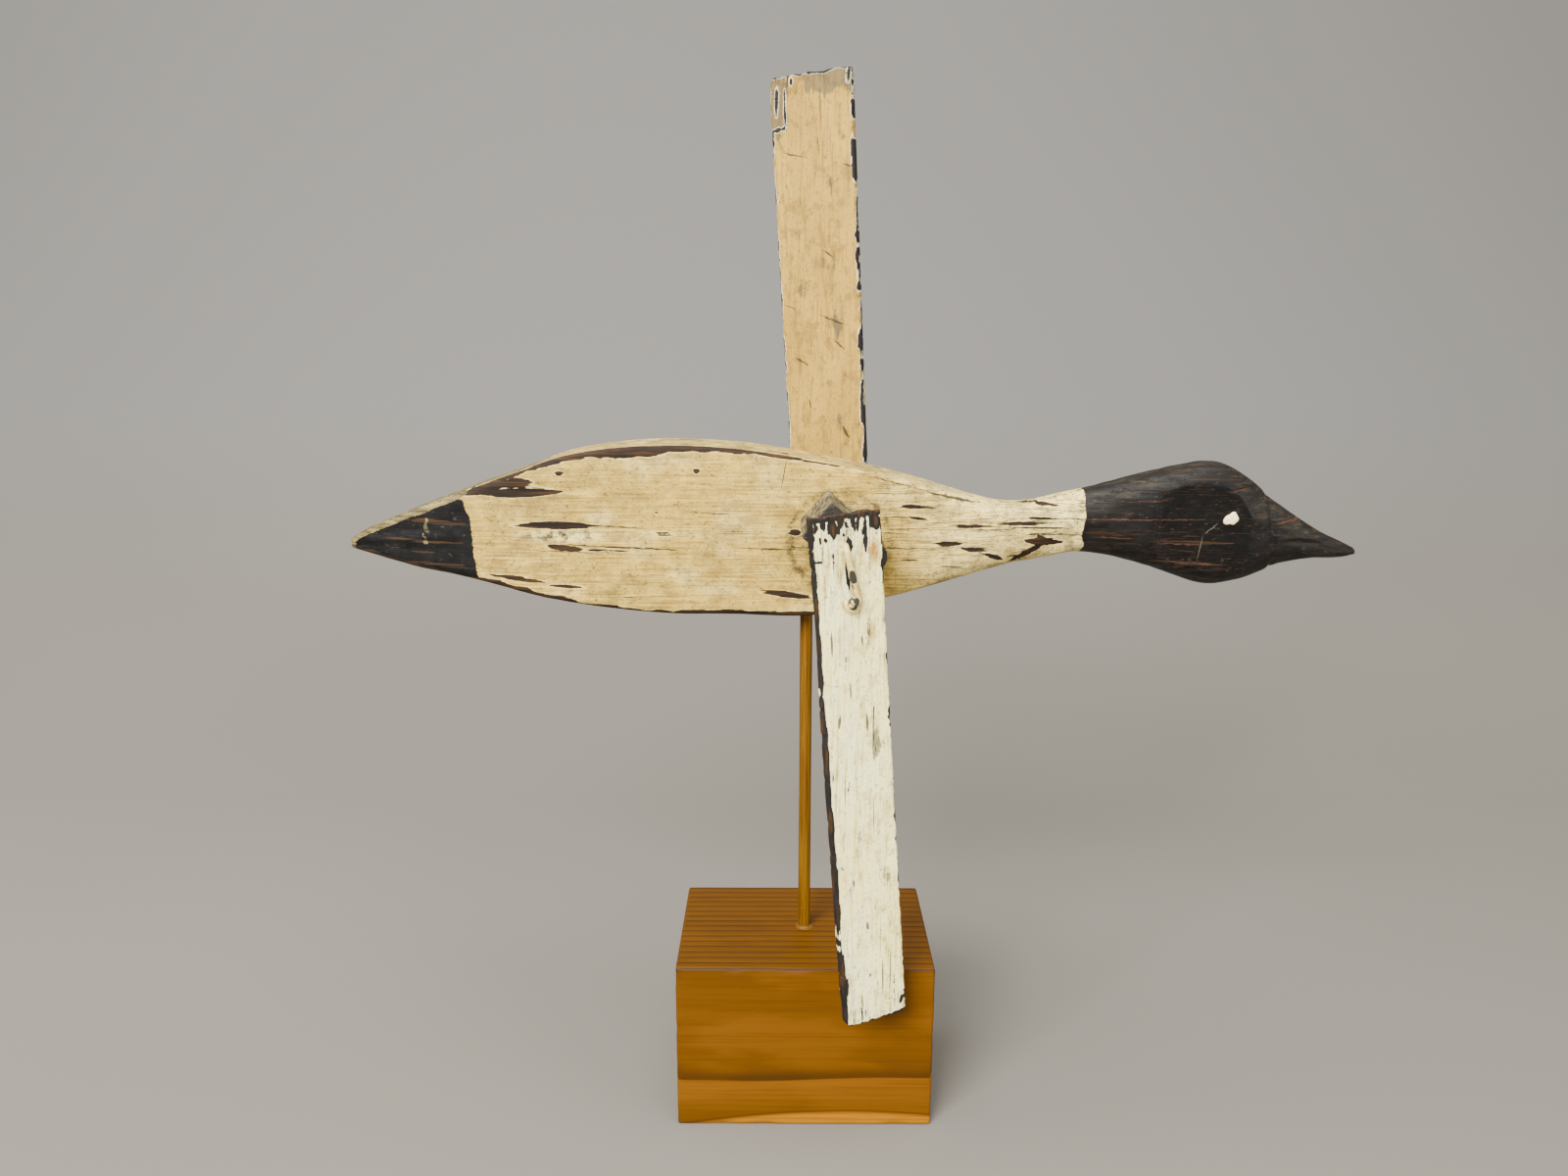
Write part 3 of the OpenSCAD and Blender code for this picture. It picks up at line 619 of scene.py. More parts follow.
def duck():
    """The bird: at each station |y/h|^n + |z/t|^m = 1, with m larger along the sawn board so that
    its corners are equally tight both ways. Points walk evenly round the section's box, and each
    is pulled in along its ray until the sum is one. Then the whole is whittled."""
    s = np.linspace(0, BIRD_LEN, 545)[:, None]
    top, low = BIRD_Z + curve(BACK, s), BIRD_Z + curve(BELLY, s)
    half, square = np.minimum(curve(HALF, s), BIRD_HALF), curve(SQUARE, s)
    mid, tall = (top + low) / 2, (top - low) / 2
    board = smooth(318, 262, s)
    square = square * (1 + 0.7 * board)
    upright = square * (1 + board * np.maximum(tall / half - 1, 0))
    walk = (np.arange(176) + 0.5) / 176 * 4 * (half + tall)
    y = half - np.clip(walk - tall, 0, 2 * half) + np.clip(walk - 3 * tall - 2 * half, 0, 2 * half)
    z = (np.clip(walk, 0, tall) - np.clip(walk - tall - 2 * half, 0, 2 * tall)
         + np.clip(walk - 3 * tall - 4 * half, 0, tall))
    short, long = np.zeros_like(y), np.ones_like(y)
    for _ in range(26):
        a = (short + long) / 2
        outside = (a * np.abs(y) / half) ** square + (a * np.abs(z) / tall) ** upright > 1
        short, long = np.where(outside, short, a), np.where(outside, a, long)
    x, y, z = s - DOWEL_S + 0 * y, y * short, mid + z * short

    # Knife facets, strong on the neck, head and tail, faint on the sawn sides
    around = np.arctan2(z - mid, y)
    out_y, out_z = np.cos(around), np.sin(around)
    carve = 0.1 + 0.5 * smooth(265, 330, s) + 0.35 * smooth(70, 20, s)
    cut = lattice(x / 15 + 2.4 * out_y, 2.4 * out_z + 9, 4, facets=True) * carve
    cut += 0.14 * lattice(x / 4.5 + 5 * out_y, 5 * out_z + 9, 9) * (0.5 + smooth(300, 380, s))
    y, z = y + cut * out_y, z + cut * out_z
    # Flat cheeks, and the step and groove where the bill begins
    cheek = CHEEK + 0.02 * (z - 312)
    on_head = smooth(388, 400, s) * smooth(464, 452, s)
    y = np.where(on_head > 0, np.sign(y) * np.minimum(np.abs(y), cheek + (1 - on_head) * 6), y)
    bill_line = BILL_START - 0.12 * (z - 300)
    groove = 0.9 * np.exp(-((s - bill_line) / 1.2) ** 2)
    groove = groove + 0.6 * smooth(-0.6, 1.0, s - bill_line) * smooth(500, 470, s)
    shrink = 1 - groove / np.maximum(np.hypot(y, z - mid), 3)
    y, z = y * shrink, mid + (z - mid) * shrink
    mouth = 0.35 * np.exp(-((z - 300.5 + 0.11 * (s - 480)) / 0.9) ** 2)
    mouth = mouth * smooth(462, 468, s) * smooth(499, 494, s)
    y = y - np.sign(y) * mouth
    grid = np.stack([x, y, z], -1)

    # On the side that faces away the same kind of wear sits a little further back
    shown = y < 0
    px, pz = np.where(shown, x, x + 9), np.where(shown, z, z + 2.5)
    on_side = smooth(2.6, 0.9, half - np.abs(y)) * board + smooth(262, 318, s)
    loss = strokes(BARE_PATCHES, px, pz)
    loss = np.maximum(loss, strokes(BLACK_SCRATCHES, px, pz))
    tear, foot = np.interp(px, *np.array(TOP_TEAR, float).T), np.interp(px, *np.array(FOOT_TEAR, float).T)
    tear = tear + 0.5 * lattice(px / 5, shown * 3.0, 21)
    foot = foot + 0.7 * lattice(px / 6, shown * 3.0, 22)
    rim = np.maximum(np.minimum(tear - (top - z) + 0.8, 2.4), np.minimum(foot - (z - low) + 0.6, 2.4))
    loss = np.maximum(loss, rim * board - 6 * (1 - board)) - 6 * (1 - np.clip(on_side, 0, 1))
    loss = np.maximum(loss, -5 + 5.4 * smooth(3, 0, s) + 5.0 * smooth(BIRD_LEN - 3, BIRD_LEN, s))
    flat_top = smooth(0.9, 2.6, half - np.abs(y)) * (z > mid)
    flat_foot = smooth(0.9, 2.6, half - np.abs(y)) * (z < mid)
    wear = 0.2 + 0.35 * smooth(240, 262, s) + 0.25 * smooth(300, 330, s)
    wear = wear + 0.35 * (flat_top + flat_foot) * board
    tail_edge = TAIL_PAINT + 2.0 * lattice(z / 8, z * 0 + 3, 5) - 0.14 * (z - 300)
    tail_edge = tail_edge - 10 * flat_top * board - 4 * smooth(5, 2, top - z) * board
    head_edge = HEAD_PAINT + 0.9 * lattice(z / 5, z * 0 + 8, 6)
    dark = np.maximum(tail_edge - s, s - head_edge)
    below = top - z
    edge_line = below - 3.2 + 0.8 * lattice(x / 7, z * 0 + 6, 27)
    dark = np.where((s < 90) & (z > mid), np.minimum(np.minimum(dark, 4 - 9 * flat_top), edge_line), dark)
    grey = -1.2 + 1.9 * flat_top * smooth(120, 40, s) + 1.9 * smooth(5, 0, s) + 0.9 * flat_top * board
    grey = np.maximum(grey, np.minimum(3.2 - below, 1) - 3.2 * smooth(56, 72, s))
    smudge = np.exp(-((x + 187 + lattice(z / 2, z * 0, 66)) / 1.5) ** 2 - ((z - 305) / 9) ** 2)
    grey = grey + 2.6 * smudge * (lattice(x / 1.3, z / 1.8, 62) > -0.25)
    pale = 0.12 + 0.8 * smooth(338, 350, s) + 0.5 * smooth(258, 300, s) + 0.2 * flat_top
    crust = blob(px, pz, (-118, 305), (17, 2.6))
    rubbed = blob(x, z, (20, 321.5), (7, 3)) * (lattice(x / 9, z / 0.9, 61) > -0.2)
    patches = smooth(0.3, 0.8, lattice(x / 20, z / 9, 31))
    pale = np.clip(pale + 0.9 * rubbed + 1.3 * crust + 0.3 * patches, 0, 1)
    # A dark ring and disc round each hub block, with a dark streak at its left: grime where the block rubs,
    # and painted shade behind the block and wing
    radius = np.hypot(x - RUB_SHADE_X, z - RUB_SHADE_Z)
    patchy = 0.75 + 0.35 * lattice(x / 6, z / 4, 52)
    dirt = 1.1 * np.exp(-((radius - RUB_SHADE_R) / 1.8) ** 2) * patchy + 0.7 * smooth(25, 15, radius) * patchy
    dirt = dirt + 0.8 * blob(x, z, (-8, 302), (2, 5.5))
    # Painted shade on the board's top band, dark specks in the crust, and loose grime patches
    dirt = dirt + 0.3 * flat_top * board + 1.8 * crust * (lattice(x / 2.6, z / 1.6, 44) > 0.25)
    dirt = dirt + 0.3 * smooth(0.45, 0.9, lattice(x / 16, z / 11, 47))
    cheek_edge = smooth(cheek - 0.15, cheek - 1.6, np.abs(y)) * smooth(mid + 2, mid + 8, z)
    fade = cheek_edge * smooth(355, 375, s) + 0.9 * smooth(457, 464, s) * smooth(294, 302, z)
    fade = fade + 0.45 * smooth(395, 365, s) * smooth(362, 366, s)
    gloss = on_head * smooth(cheek - 0.8, cheek - 0.1, np.abs(y)) + 0.4 * smooth(70, 55, s)
    points, faces = closed_tube(grid)
    named = dict(loss=loss, wear=wear, dark=dark, grey=grey, pale=pale, dirt=np.clip(dirt, 0, 1),
                 fade=np.clip(fade, 0, 1), gloss=gloss)
    for name, value in named.items():
        value = value * np.ones_like(x)
        named[name] = np.append(value.ravel(), [value[0].mean(), value[-1].mean()])
    return make_mesh("carved_duck", points, faces, duck_finish(), "bird", ["bird_body"], named)


def eye(side):
    """A raised, uneven chip: the radius round it varies with two waves, and it domes to a low top."""
    low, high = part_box(SIDES[side] + "_eye_tack")
    at_x, at_z = (low.x + high.x) / 2 / MM, (low.z + high.z) / 2 / MM
    ring = np.linspace(0, 2 * math.pi, 40, endpoint=False)
    rim = 3.2 + 0.5 * np.cos(2 * ring - 0.9) + 0.35 * np.cos(3 * ring + 2.2) + 0.2 * np.cos(5 * ring)
    share = np.array([0.02, 0.35, 0.7, 0.93, 1.0, 1.0, 0.5])
    rise = np.array([1.1, 1.15, 1.0, 0.75, 0.4, -0.6, -0.6])
    r = share[:, None] * rim
    out = 14.45 + rise[:, None] + 0.12 * np.cos(ring * 4) * (share[:, None] > 0.3)
    y = out * (1 if side else -1)
    grid = np.stack([at_x + r * np.cos(ring), y, at_z + r * np.sin(ring)], -1)
    if side:
        grid = grid[:, ::-1]
    points, faces = closed_tube(grid)
    name = SIDES[side] + "_eye"
    return make_mesh(name, points, faces, eye_material, "bird", [name + "_tack"])


# ---------------------------------------------------------------- the spinning part

# Bare patches on the face of each wing towards the viewer at rest: [chord, along, chord, along, half
# thickness], where along runs from the axle to the tip and is negative at the root end
WING_PATCHES = ([[-8, -13, -6, -4, 2.4], [-12, -13, -11, -8, 1.6], [14.5, -13, 15, -5, 2.8],
                 [9.5, -13, 9, 4, 1.0], [0.5, -4, 1, 4, 1.7],
                 [-17, -8, -16.5, -3, 1.3], [-17.4, 6, -17.4, 24, 1.2],
                 [-16.5, 5.5, -12, 6, 0.8], [3, -13, 4, -7, 1.2], [6, -12, 5, -5, 0.8],
                 [-2, -13, -3, -8, 1.2],
                 [-1.5, 5, -0.5, 20, 0.7], [-17, 36, -16.5, 60, 0.9], [-17, 150, -16, 156, 1.2],
                 [-16.5, 205, -15.8, 236, 1.6], [-15, 208, -14, 218, 0.8], [13, 231, 16, 226, 1.0],
                 [11, 214, 10.5, 232, 0.4], [-8, 222, -7, 235, 0.5]],
                [[-20, 203, -18.5, 218, 0.9], [-23, 196, -14, 197, 0.6], [-14.5, 198, -14.5, 216, 0.6],
                 [-10.5, 217, -10.5, 221, 0.9], [21.5, 214, 22.5, 222, 1.0], [22, 176, 22.8, 190, 0.8],
                 [22.5, 126, 23, 134, 1.0], [22.6, 82, 23, 96, 0.8], [22, 46, 22.8, 66, 0.8],
                 [-23.4, 150, -23, 172, 0.8], [-23, 100, -22.7, 120, 0.8], [-22.6, 20, -22, 60, 0.9]])


def wing(side):
    """A thin board: a rounded-rectangle section on stations from root to tip, with nicked edges."""
    name = SIDES[side] + "_wing"
    along = np.linspace(-WING_ROOT, TIP[side], 420)[:, None]
    share = (along + WING_ROOT) / (TIP[side] + WING_ROOT)
    half = (ROOT_W[side] + (TIP_W[side] - ROOT_W[side]) * share) / 2
    face, round_n, r = 54, 7, 1.1
    across = np.linspace(-1, 1, face)
    arc = np.linspace(-90, 90, round_n + 2)[1:-1] * math.pi / 180
    t = WING_T / 2
    # Ring: outer face left to right, round the right edge, inner face back, round the left edge
    chord_share = np.concatenate([across, np.ones(round_n), across[::-1], -np.ones(round_n)])
    chord_more = np.concatenate([np.zeros(face), r * np.cos(arc), np.zeros(face), -r * np.cos(arc)])
    depth = np.concatenate([-t * np.ones(face), np.sign(arc) * (t - r) + r * np.sin(arc) + 0 * arc,
                            t * np.ones(face), -(np.sign(arc) * (t - r) + r * np.sin(arc))])
    edge = (np.abs(chord_share) > 0.999).astype(float)[None, :]
    nick = 0.55 * np.maximum(lattice(along / 3.1, chord_share[None, :] * 2 + 5, 40 + side), 0) ** 2
    nick = nick + 1.2 * np.maximum(lattice(along / 9, chord_share[None, :] * 3 + 9, 50 + side) - 0.55, 0)
    inset = 0.9 * np.exp(-((along - 40) / 28) ** 2) * (chord_share < 0)[None, :] * (1 - side)
    broken = 2.6 * smooth(TIP[side] - 5, TIP[side] + 1, along) ** 2 * (chord_share < -0.9)[None, :]
    chord = (half - r - inset * np.abs(chord_share) - broken) * chord_share + chord_more
    chord = chord - np.sign(chord_share) * nick * edge
    bow = 0.5 * lattice(along / 70, along * 0 + 2, 60 + side) + 0.1 * lattice(along / 9, chord / 6, 70 + side)
    thin = 1 - 0.12 * np.maximum(lattice(along / 14, chord_share[None, :] * 2, 80 + side), 0)
    y = depth[None, :] * thin + bow
    y = np.clip(y, -t - 0.12, t + 0.12)
    end_wave = 0.5 * lattice(chord / 4, chord * 0 + 1, 90 + side)
    z = -(along + end_wave * (smooth(0.985, 1, share) - smooth(0.02, 0, share)))
    own = np.stack([chord + SHIFT[side], y, z + 0 * chord], -1)
    grid = side_place(side, own.reshape(-1, 3)).reshape(own.shape)
    rows, cols = chord.shape

    shown = (depth < 0)[None, :] if side == 0 else (depth > 0)[None, :]
    a, b = chord, along + 0 * chord
    loss = strokes(WING_PATCHES[side], np.where(shown, a, -a), np.where(shown, b, b + 11))
    inward = half - np.abs(chord)
    on_edge = np.abs(depth)[None, :] < t - 0.7
    torn = 0.2 + 1.1 * lattice(b / 5, np.sign(a) * 2 + 9, 13 + side)
    torn = torn + 0.5 * lattice(b / 1.9, np.sign(a) + 5, 17)
    loss = np.maximum(loss, np.minimum(torn - inward, 1.5))
    if side == 0:
        bare_edge = 1.8 + 1.2 * lattice(b / 6, a * 0 + 2, 12) - np.maximum(inward - 1.2, 0) * 2.6
        near_edge = np.where(on_edge | (inward < 1.8), 1, 0)
        loss = np.maximum(loss, np.where(a < 0, bare_edge * near_edge - 0.6, -6))
        flaking = smooth(14, -12, b)
        chunks = 2.6 * lattice(a / 1.3, b / 3.2, 11) + 1.5 * lattice(a / 0.7, b / 1.6, 14)
        loss = np.maximum(loss, -3.1 + 2.6 * flaking + chunks * flaking)
        loss = np.maximum(loss, 2.2 - (b + WING_ROOT))
    loss = np.maximum(loss, 0.7 + 0.9 * lattice(a / 2.4, a * 0 + side, 19) - (TIP[side] - b) * 1.4)
    rim = smooth(2.6, 0.2, inward)
    wear = 0.2 + 0.4 * rim + 0.5 * smooth(40, 0, b) * (1 - side) + 0.3 * smooth(0.9, 1, share)
    rust = 0.9 * blob(a, b, (13, 2), (4, 8))
    rust = rust + 0.5 * blob(a, b, (6, 9), (2, 7))
    rust = (rust + 0.25 * blob(a, b, (13, 130), (3, 7))) * (1 - side) * shown
    grime = 0.1 + side * (smooth(-6, 0, a) * smooth(206, 219, b) + 0.55 * smooth(30, 4, b)
                          + 0.6 * smooth(-13, -15, a) * smooth(194, 198, b))
    grime = grime + 0.35 * lattice(a / 9, b / 16, 23)
    marks = dict(loss=loss, wear=wear, rust=rust * np.ones_like(a), grime=grime)
    faces = [*tube_faces(rows, cols)]
    # Each end is closed by quads from the outer face's row to the inner face's
    mirror = (2 * face + round_n - 1 - np.arange(cols)) % cols
    for row, order in ((0, -1), (rows - 1, 1)):
        k = np.arange(-(round_n // 2) - 1, face + round_n // 2) % cols
        for p, q in zip(k[:-1], k[1:]):
            quad = [row * cols + p, row * cols + q, row * cols + mirror[q], row * cols + mirror[p]]
            quad = list(dict.fromkeys(quad))
            if len(quad) > 2:
                faces.append(quad[::order])
    return make_mesh(name + "_board", grid.reshape(-1, 3), faces, wing_materials[side], "rotor",
                     [name], marks)


def hub(side):
    """A hub block: a rectangle, off centre on the axle and worn round at its forward corner, carried
    out from the body until it meets the slope of the wing."""
    name = SIDES[side] + "_hub_block"
    angle = np.linspace(0, 2 * math.pi, 200, endpoint=False)
    n = 40.0
    a, b = HUB_LONG / 2, HUB_SHORT / 2
    bx, bz = np.clip(1.5 * a * np.cos(angle), -a, a), np.clip(1.5 * a * np.sin(angle), -b, b)
    pull = ((np.abs(bx) / a) ** n + (np.abs(bz) / b) ** n) ** (-1 / n)
    sx, sz = bx * pull, bz * pull
    # The worn corner is a quarter circle of radius HUB_WORN
    dx, dz = sx - (a - HUB_WORN), sz - (b - HUB_WORN)
    corner = (dx > 0) & (dz > 0)
    keep = np.where(corner, np.minimum(1, HUB_WORN / np.maximum(np.hypot(dx, dz), 1e-6)), 1)
    sx, sz = np.where(corner, a - HUB_WORN + dx * keep, sx), np.where(corner, b - HUB_WORN + dz * keep, sz)
    sx = sx + HUB_OFF
    spin = math.radians(-LEAN[side] - HUB_TURN)
    wx, wz = sx * math.cos(spin) - sz * math.sin(spin), sx * math.sin(spin) + sz * math.cos(spin)
    pitch = math.radians(PITCH[side])
    back = (WING_T / 2 + 0.03) / math.cos(pitch)
    share = np.concatenate([[0, 0], np.linspace(0, 1, 44), [1, 1]])[:, None]
    size = np.concatenate([[0.02, 0.975, 0.985], np.ones(42), [0.985, 0.975, 0.02]])[:, None]
    nicks = 1 - 0.012 * np.maximum(lattice(share * 14, 4 * np.cos(angle) + 6, 33 + side), 0)
    own_x, own_z = wx * size * nicks, wz * size * nicks
    far = WING_OUT - back - own_x * math.tan(pitch)
    y = -(HUB_START + (far - HUB_START) * share)
    placed = side_place(side, np.stack([own_x, y, own_z], -1).reshape(-1, 3), pitched=False, out=0)
    points, faces = closed_tube(placed.reshape(*own_x.shape, 3))
    # Painted shade, with some grime, where the block meets the wing and the body and over its worn-corner end
    dirt = smooth(0.93, 1.0, share) * 0.9 + smooth(0.15, 0, share) * 0.5 + 0.8 * smooth(14, 20, sx)[None, :]
    dirt = np.append((np.clip(dirt, 0, 1) * np.ones_like(own_x)).ravel(), [0.9, 0.9])
    return make_mesh(name + "_wood", points, faces, hub_material, "rotor", [name], {"dirt": dirt})


def rod_half(side):
    """The rod's middle line from the axle's middle out to one hook's end, as CAD draws it:
    straight, an arc where it bends, a slanting leg, then an arc round the screw."""
    pitch = math.radians(PITCH[side])
    back = LEG_LIFT * math.tan(pitch)
    away = math.hypot(HOOK_REACH, back)
    slew = math.atan(back / HOOK_REACH) + math.asin(HOOK_R / away)
    corner = np.array([-back, -LEG_LIFT, 0.0])
    leg = np.array([math.sin(slew), 0, -math.cos(slew)])
    square = turn("Z", -PITCH[side]) @ np.array([0, -1.0, 0])
    bend = (math.pi - math.acos(-(square @ leg))) / 2
    inset = ROD_BEND * math.tan(bend)
    start, end = corner - square * inset, corner + leg * inset
    share = np.linspace(0, 1, 14)[:, None]
    middle = corner + (leg - square) / np.linalg.norm(leg - square) * ROD_BEND / math.cos(bend)
    first, last = start - middle, end - middle
    omega = 2 * bend
    elbow = middle + (np.sin((1 - share) * omega) * first + np.sin(share * omega) * last) / math.sin(omega)
    touch = corner + leg * math.sqrt(away**2 - HOOK_R**2)
    straight = end + (touch - end) * np.linspace(0.05, 0.97, 20)[:, None]
    round_angle = np.radians(np.linspace(0, HOOK_TURN, 34))[:, None]
    front = np.array([math.cos(slew), 0, math.sin(slew)])
    hook = np.array([0, -LEG_LIFT, -HOOK_REACH]) + HOOK_R * (np.cos(round_angle) * front
                                                            + np.sin(round_angle) * leg)
    path = np.concatenate([elbow, straight, hook])
    placed = side_place(side, path)
    shaft_out = placed[0]
    shaft = np.array([AXLE_X, 0, AXLE_Z]) + (shaft_out - (AXLE_X, 0, AXLE_Z)) * np.linspace(
        0, 0.985, 60)[:, None]
    return np.concatenate([shaft, placed])


def rod():
    """Both halves of the rod as one tube, thickened a little by old paint, its ends rounded off."""
    right, left = rod_half(0), rod_half(1)
    path = np.concatenate([right[::-1], left[1:]])
    n = len(path)
    k = np.arange(n)
    painted = np.abs(path[:, 1]) > BIRD_HALF + 3
    radius = ROD_R + 0.07 * lattice(k / 3.0, k * 0.0, 3) * painted
    ends = np.minimum(k, n - 1 - k)
    radius = radius * np.sqrt(np.clip((ends + 0.35) / 4.0, 0.1, 1))
    points, faces = sweep(path, radius)
    cols = 24
    ring = points[:-2].reshape(n, cols, 3)
    outward = np.abs(ring[:, :, 1]) - np.abs(path[:, None, 1])
    # One oval chip on the outer side of each slanting leg
    spot = np.full((n, cols), -4.0)
    for middle in (44, n - 45):
        spot = np.maximum(spot, 1.6 - np.hypot((k[:, None] - middle) / 1.7, (1 - outward / ROD_R) * 3.0))
    # The left side of the tube gets painted shade, made patchy like grime in the finish
    leftward = path[:, None, 0] - ring[:, :, 0]
    marks = {"loss": np.append(spot.ravel(), [-1, -1]),
             "dirt": np.append(smooth(0.35 * ROD_R, ROD_R, leftward).ravel(), [1, 1])}
    return make_mesh("bent_rod", points, faces, rod_material, "rotor", ["axle_rod"], marks)


def wing_screw(side):
    """A domed screw head over the rod's hook, with its shank into the wing."""
    name = SIDES[side] + "_wing_screw"
    under = WING_T / 2 + 2 * ROD_R + 0.15
    dome = [[3.0 * math.sin(a), under + 0.35 + 1.5 * math.cos(a)] for a in np.linspace(0.02, math.pi / 2, 12)]
    profile = dome + [[3.0, under + 0.12], [2.7, under], [1.66, under], [1.66, -1.6], [0.05, -1.8]]
    points, faces = lathe(profile[::-1])
    wobble = 1 + 0.03 * lattice(points[:, 0] / 1.5, points[:, 1] / 1.5, 15)
    own = np.stack([points[:, 0] * wobble, -points[:, 2], points[:, 1] * wobble - HOOK_REACH], -1)
    # One side of the dome gets painted shade, a dark crescent
    marks = {"loss": 1.3 * lattice(points[:, 0] / 1.5 + 4 * side, points[:, 1] / 1.5, 18) + 0.15,
             "dirt": smooth(0.7, 2.2, -points[:, 0] - 0.4 * points[:, 1])}
    return make_mesh(name + "_head", side_place(side, own), faces, rod_material, "rotor",
                     [name], marks)


# ---------------------------------------------------------------- the stand

def block():
    """The block as level rings, each a rectangle of corner centres plus a radius outwards. The radius
    is a quarter circle's over the foot and top edges, and is a little less where an edge is dented."""
    low, high = (np.array(corner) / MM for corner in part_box("base_block"))
    ease, bend = 1.3, np.linspace(0, math.pi / 2, 7)
    inner = (high - low)[:2] / 2 - ease
    corners = inner * [[1, 1], [-1, 1], [-1, -1], [1, -1]]
    centre, out, on_corner = [], [], []
    for k in range(4):
        angle = k * math.pi / 2 + bend
        centre.append(np.repeat(corners[k][None], len(bend), 0))
        out.append(np.stack([np.cos(angle), np.sin(angle)], -1))
        straight = np.linspace(0, 1, 40)[1:-1, None]
        centre.append(corners[k] * (1 - straight) + corners[(k + 1) % 4] * straight)
        out.append(np.repeat(out[-1][-1:], len(straight), 0))
        on_corner += [1.0] * len(bend) + [0.0] * len(straight)
    centre, out, on_corner = np.concatenate(centre), np.concatenate(out), np.array(on_corner)
    shrink = np.array([0.02, 0.4, 0.8, 0.97])
    ones = np.ones(len(bend))
    tall, rows = high[2] - low[2], 34
    upright = np.linspace(ease, tall - ease, rows + 2)[1:-1]
    z = low[2] + np.concatenate([0 * shrink, ease - ease * np.sin(bend[::-1]), upright,
                                 tall - ease + ease * np.sin(bend), 0 * shrink + tall])
    radius = np.concatenate([0 * shrink, ease * np.cos(bend[::-1]), np.full(rows, ease),
                             ease * np.cos(bend), 0 * shrink])
    reach = np.concatenate([shrink, ones, np.ones(rows), ones, shrink[::-1]])
    on_rim = (radius < ease * 0.999) * (reach == 1)
    places = centre @ [[1.0, 0.3], [0.3, 1.0]]
    dent = np.maximum(lattice(places[None, :, 0] / 8, places[None, :, 1] / 8 + z[:, None] / 7, 71), 0) ** 2
    radius = radius[:, None] * (1 - 0.5 * dent * np.maximum(on_corner[None, :], on_rim[:, None]))
    level = (low + high)[:2] / 2 + centre[None] * reach[:, None, None] + out[None] * radius[:, :, None]
    grid = np.concatenate([level, np.repeat(z[:, None, None], len(centre), 1)], -1)
    points, faces = closed_tube(grid)
    return make_mesh("stand_block", points, faces, block_finish(), "stand", ["base_block"])


def dowel():
    """The dowel, a very slightly uneven turned rod, and the ring of glue at its foot."""
    low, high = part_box("support_dowel")
    r = (high.x - low.x) / 2 / MM
    z = np.linspace(low.z / MM, high.z / MM, 120)
    profile = [[0.05, z[0]]] + [[r + 0.04 * math.sin(h / 17) - 0.04, h] for h in z] + [[0.05, z[-1]]]
    points, faces = lathe(profile, 40)
    make_mesh("turned_dowel", points, faces, dowel_finish(), "stand", ["support_dowel"])
    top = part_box("base_block")[1].z / MM
    angle = np.linspace(0, 2 * math.pi, 48, endpoint=False)
    spread = 1.5 + 0.4 * np.cos(2 * angle + 1) + 0.25 * np.cos(5 * angle)
    share = np.array([0, 0.15, 0.4, 0.8, 1.0, 1.0, 0])[:, None]
    rise = np.array([1.3, 0.8, 0.4, 0.18, 0.06, -0.3, -0.3])[:, None]
    radius = r - 0.3 + share * (spread + 0.3)
    grid = np.stack([radius * np.cos(angle), radius * np.sin(angle), top + rise + 0 * angle], -1)
    points = grid.reshape(-1, 3)
    rows, cols = share.shape[0], len(angle)
    loop = np.concatenate([tube_faces(rows, cols)[:, ::-1],
                           np.stack([(rows - 1) * cols + np.arange(cols), np.arange(cols),
                                     (np.arange(cols) + 1) % cols,
                                     (rows - 1) * cols + (np.arange(cols) + 1) % cols], -1)[:, ::-1]])
    make_mesh("glue_ring", points, loop, glue_finish(), "stand")


# ---------------------------------------------------------------- floor, lights and camera

def backdrop():
    """Seamless paper: flat floor, a quarter-circle sweep of 1.2 m radius, then a wall, far enough back
    that the object can be seen from behind in front of it."""
    bend = np.linspace(0, math.pi / 2, 24)
    start, radius = 400, 1200
    y = np.concatenate([[-3000], [start], start + radius * np.sin(bend), [start + radius]])
    z = np.concatenate([[0], [0], radius - radius * np.cos(bend), [3000]])
    x = np.array([-4500, 4500])
    grid = np.stack([np.repeat(x[:, None], len(y), 1), np.tile(y, (2, 1)), np.tile(z, (2, 1))], -1)
    n = len(y)
    faces = [[i, n + i, n + i + 1, i + 1] for i in range(n - 1)]
    mesh = bpy.data.meshes.new("backdrop")
    mesh.from_pydata((grid.reshape(-1, 3) * MM - (0, 0, 0.0002)).tolist(), [], faces)
    mesh.polygons.foreach_set("use_smooth", [True] * len(mesh.polygons))
    mesh.materials.append(floor_finish())
    paper = bpy.data.objects.new("backdrop", mesh)
    bpy.context.collection.objects.link(paper)


def softbox(name, place, aim, size, power, tint=(1, 1, 1)):
    light = bpy.data.lights.new(name, "AREA")
    light.shape, light.size, light.size_y, light.energy, light.color = "RECTANGLE", *size, power, tint
    lamp = bpy.data.objects.new(name, light)
    lamp.location = place
    lamp.rotation_mode = "QUATERNION"
    lamp.rotation_quaternion = (Vector(aim) - Vector(place)).to_track_quat("-Z", "Y")
    bpy.context.collection.objects.link(lamp)


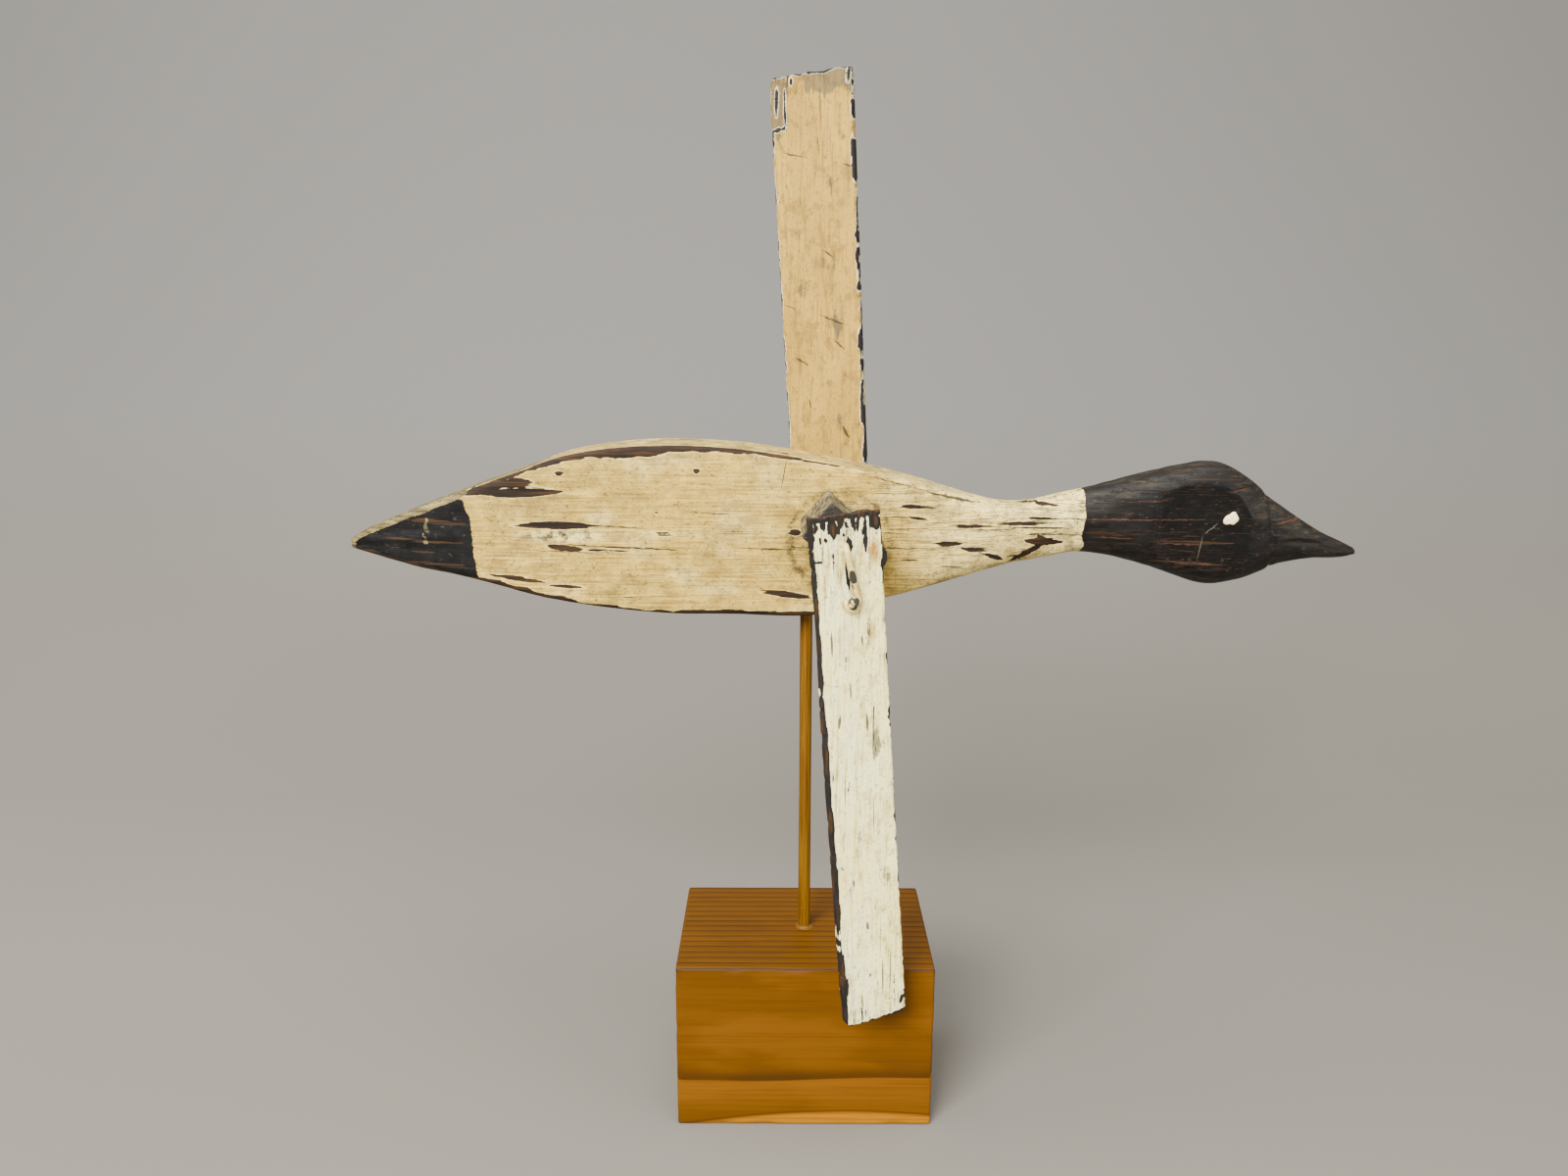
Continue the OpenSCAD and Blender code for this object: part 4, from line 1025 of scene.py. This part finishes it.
def lights():
    middle = (0.0, 0.0, 0.3)
    softbox("key", (-0.9, -1.7, 1.5), middle, (1.2, 1.0), 176, (1.0, 0.985, 0.95))
    softbox("overhead", (-0.1, -0.2, 2.3), middle, (2.2, 1.2), 84)
    softbox("fill", (1.8, -1.4, 0.7), middle, (1.2, 1.2), 24)
    world = bpy.data.worlds.new("room")
    world.use_nodes = True
    world.node_tree.nodes["Background"].inputs["Color"].default_value = (0.82, 0.81, 0.8, 1)
    world.node_tree.nodes["Background"].inputs["Strength"].default_value = 0.85
    bpy.context.scene.world = world


def camera():
    """A phone's main lens (27 mm equivalent) a little above the bird, looking slightly down."""
    down, roll = math.radians(LOOK_DOWN), math.radians(ROLL)
    ahead = Vector((0, math.cos(down), -math.sin(down)))
    right, below = Vector((1, 0, 0)), Vector((0, -math.sin(down), -math.cos(down)))
    rolled_right = right * math.cos(roll) + below * math.sin(roll)
    rolled_below = below * math.cos(roll) - right * math.sin(roll)
    data = bpy.data.cameras.new("camera")
    data.sensor_width, data.lens, data.clip_start = 36, LENS, 0.01
    made = bpy.data.objects.new("camera", data)
    made.matrix_world = Matrix.Translation(CAMERA) @ Matrix(
        (rolled_right, -rolled_below, -ahead)).transposed().to_4x4()
    bpy.context.collection.objects.link(made)
    bpy.context.scene.camera = made


# ---------------------------------------------------------------- the whole

camera()
lights()
backdrop()

wing_materials = (wing_finish(0, (255, 250, 180), (255, 240, 152), (190, 158, 80)),
                  wing_finish(1, (188, 150, 62), (164, 130, 52), (118, 91, 34)))
hub_material, rod_material, eye_material = hub_finish(), rod_finish(), eye_finish()
rust = metal_finish("rusty_steel", (36, 24, 17), (70, 48, 32), 0.6)
brass = metal_finish("old_brass", (96, 76, 36), (150, 124, 66), 0.9)

duck()
block()
dowel()
rod()
for side in (0, 1):
    eye(side)
    wing(side)
    hub(side)
    wing_screw(side)
for name, finish in (("right_washer", rust), ("left_washer", rust), ("right_wing_brads", rust),
                     ("left_wing_brads", rust), ("swivel_cap", rust), ("swivel_sleeve", brass),
                     ("axle_tube", brass)):
    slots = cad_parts[name].data.materials
    for index in range(len(slots)):
        slots[index] = finish
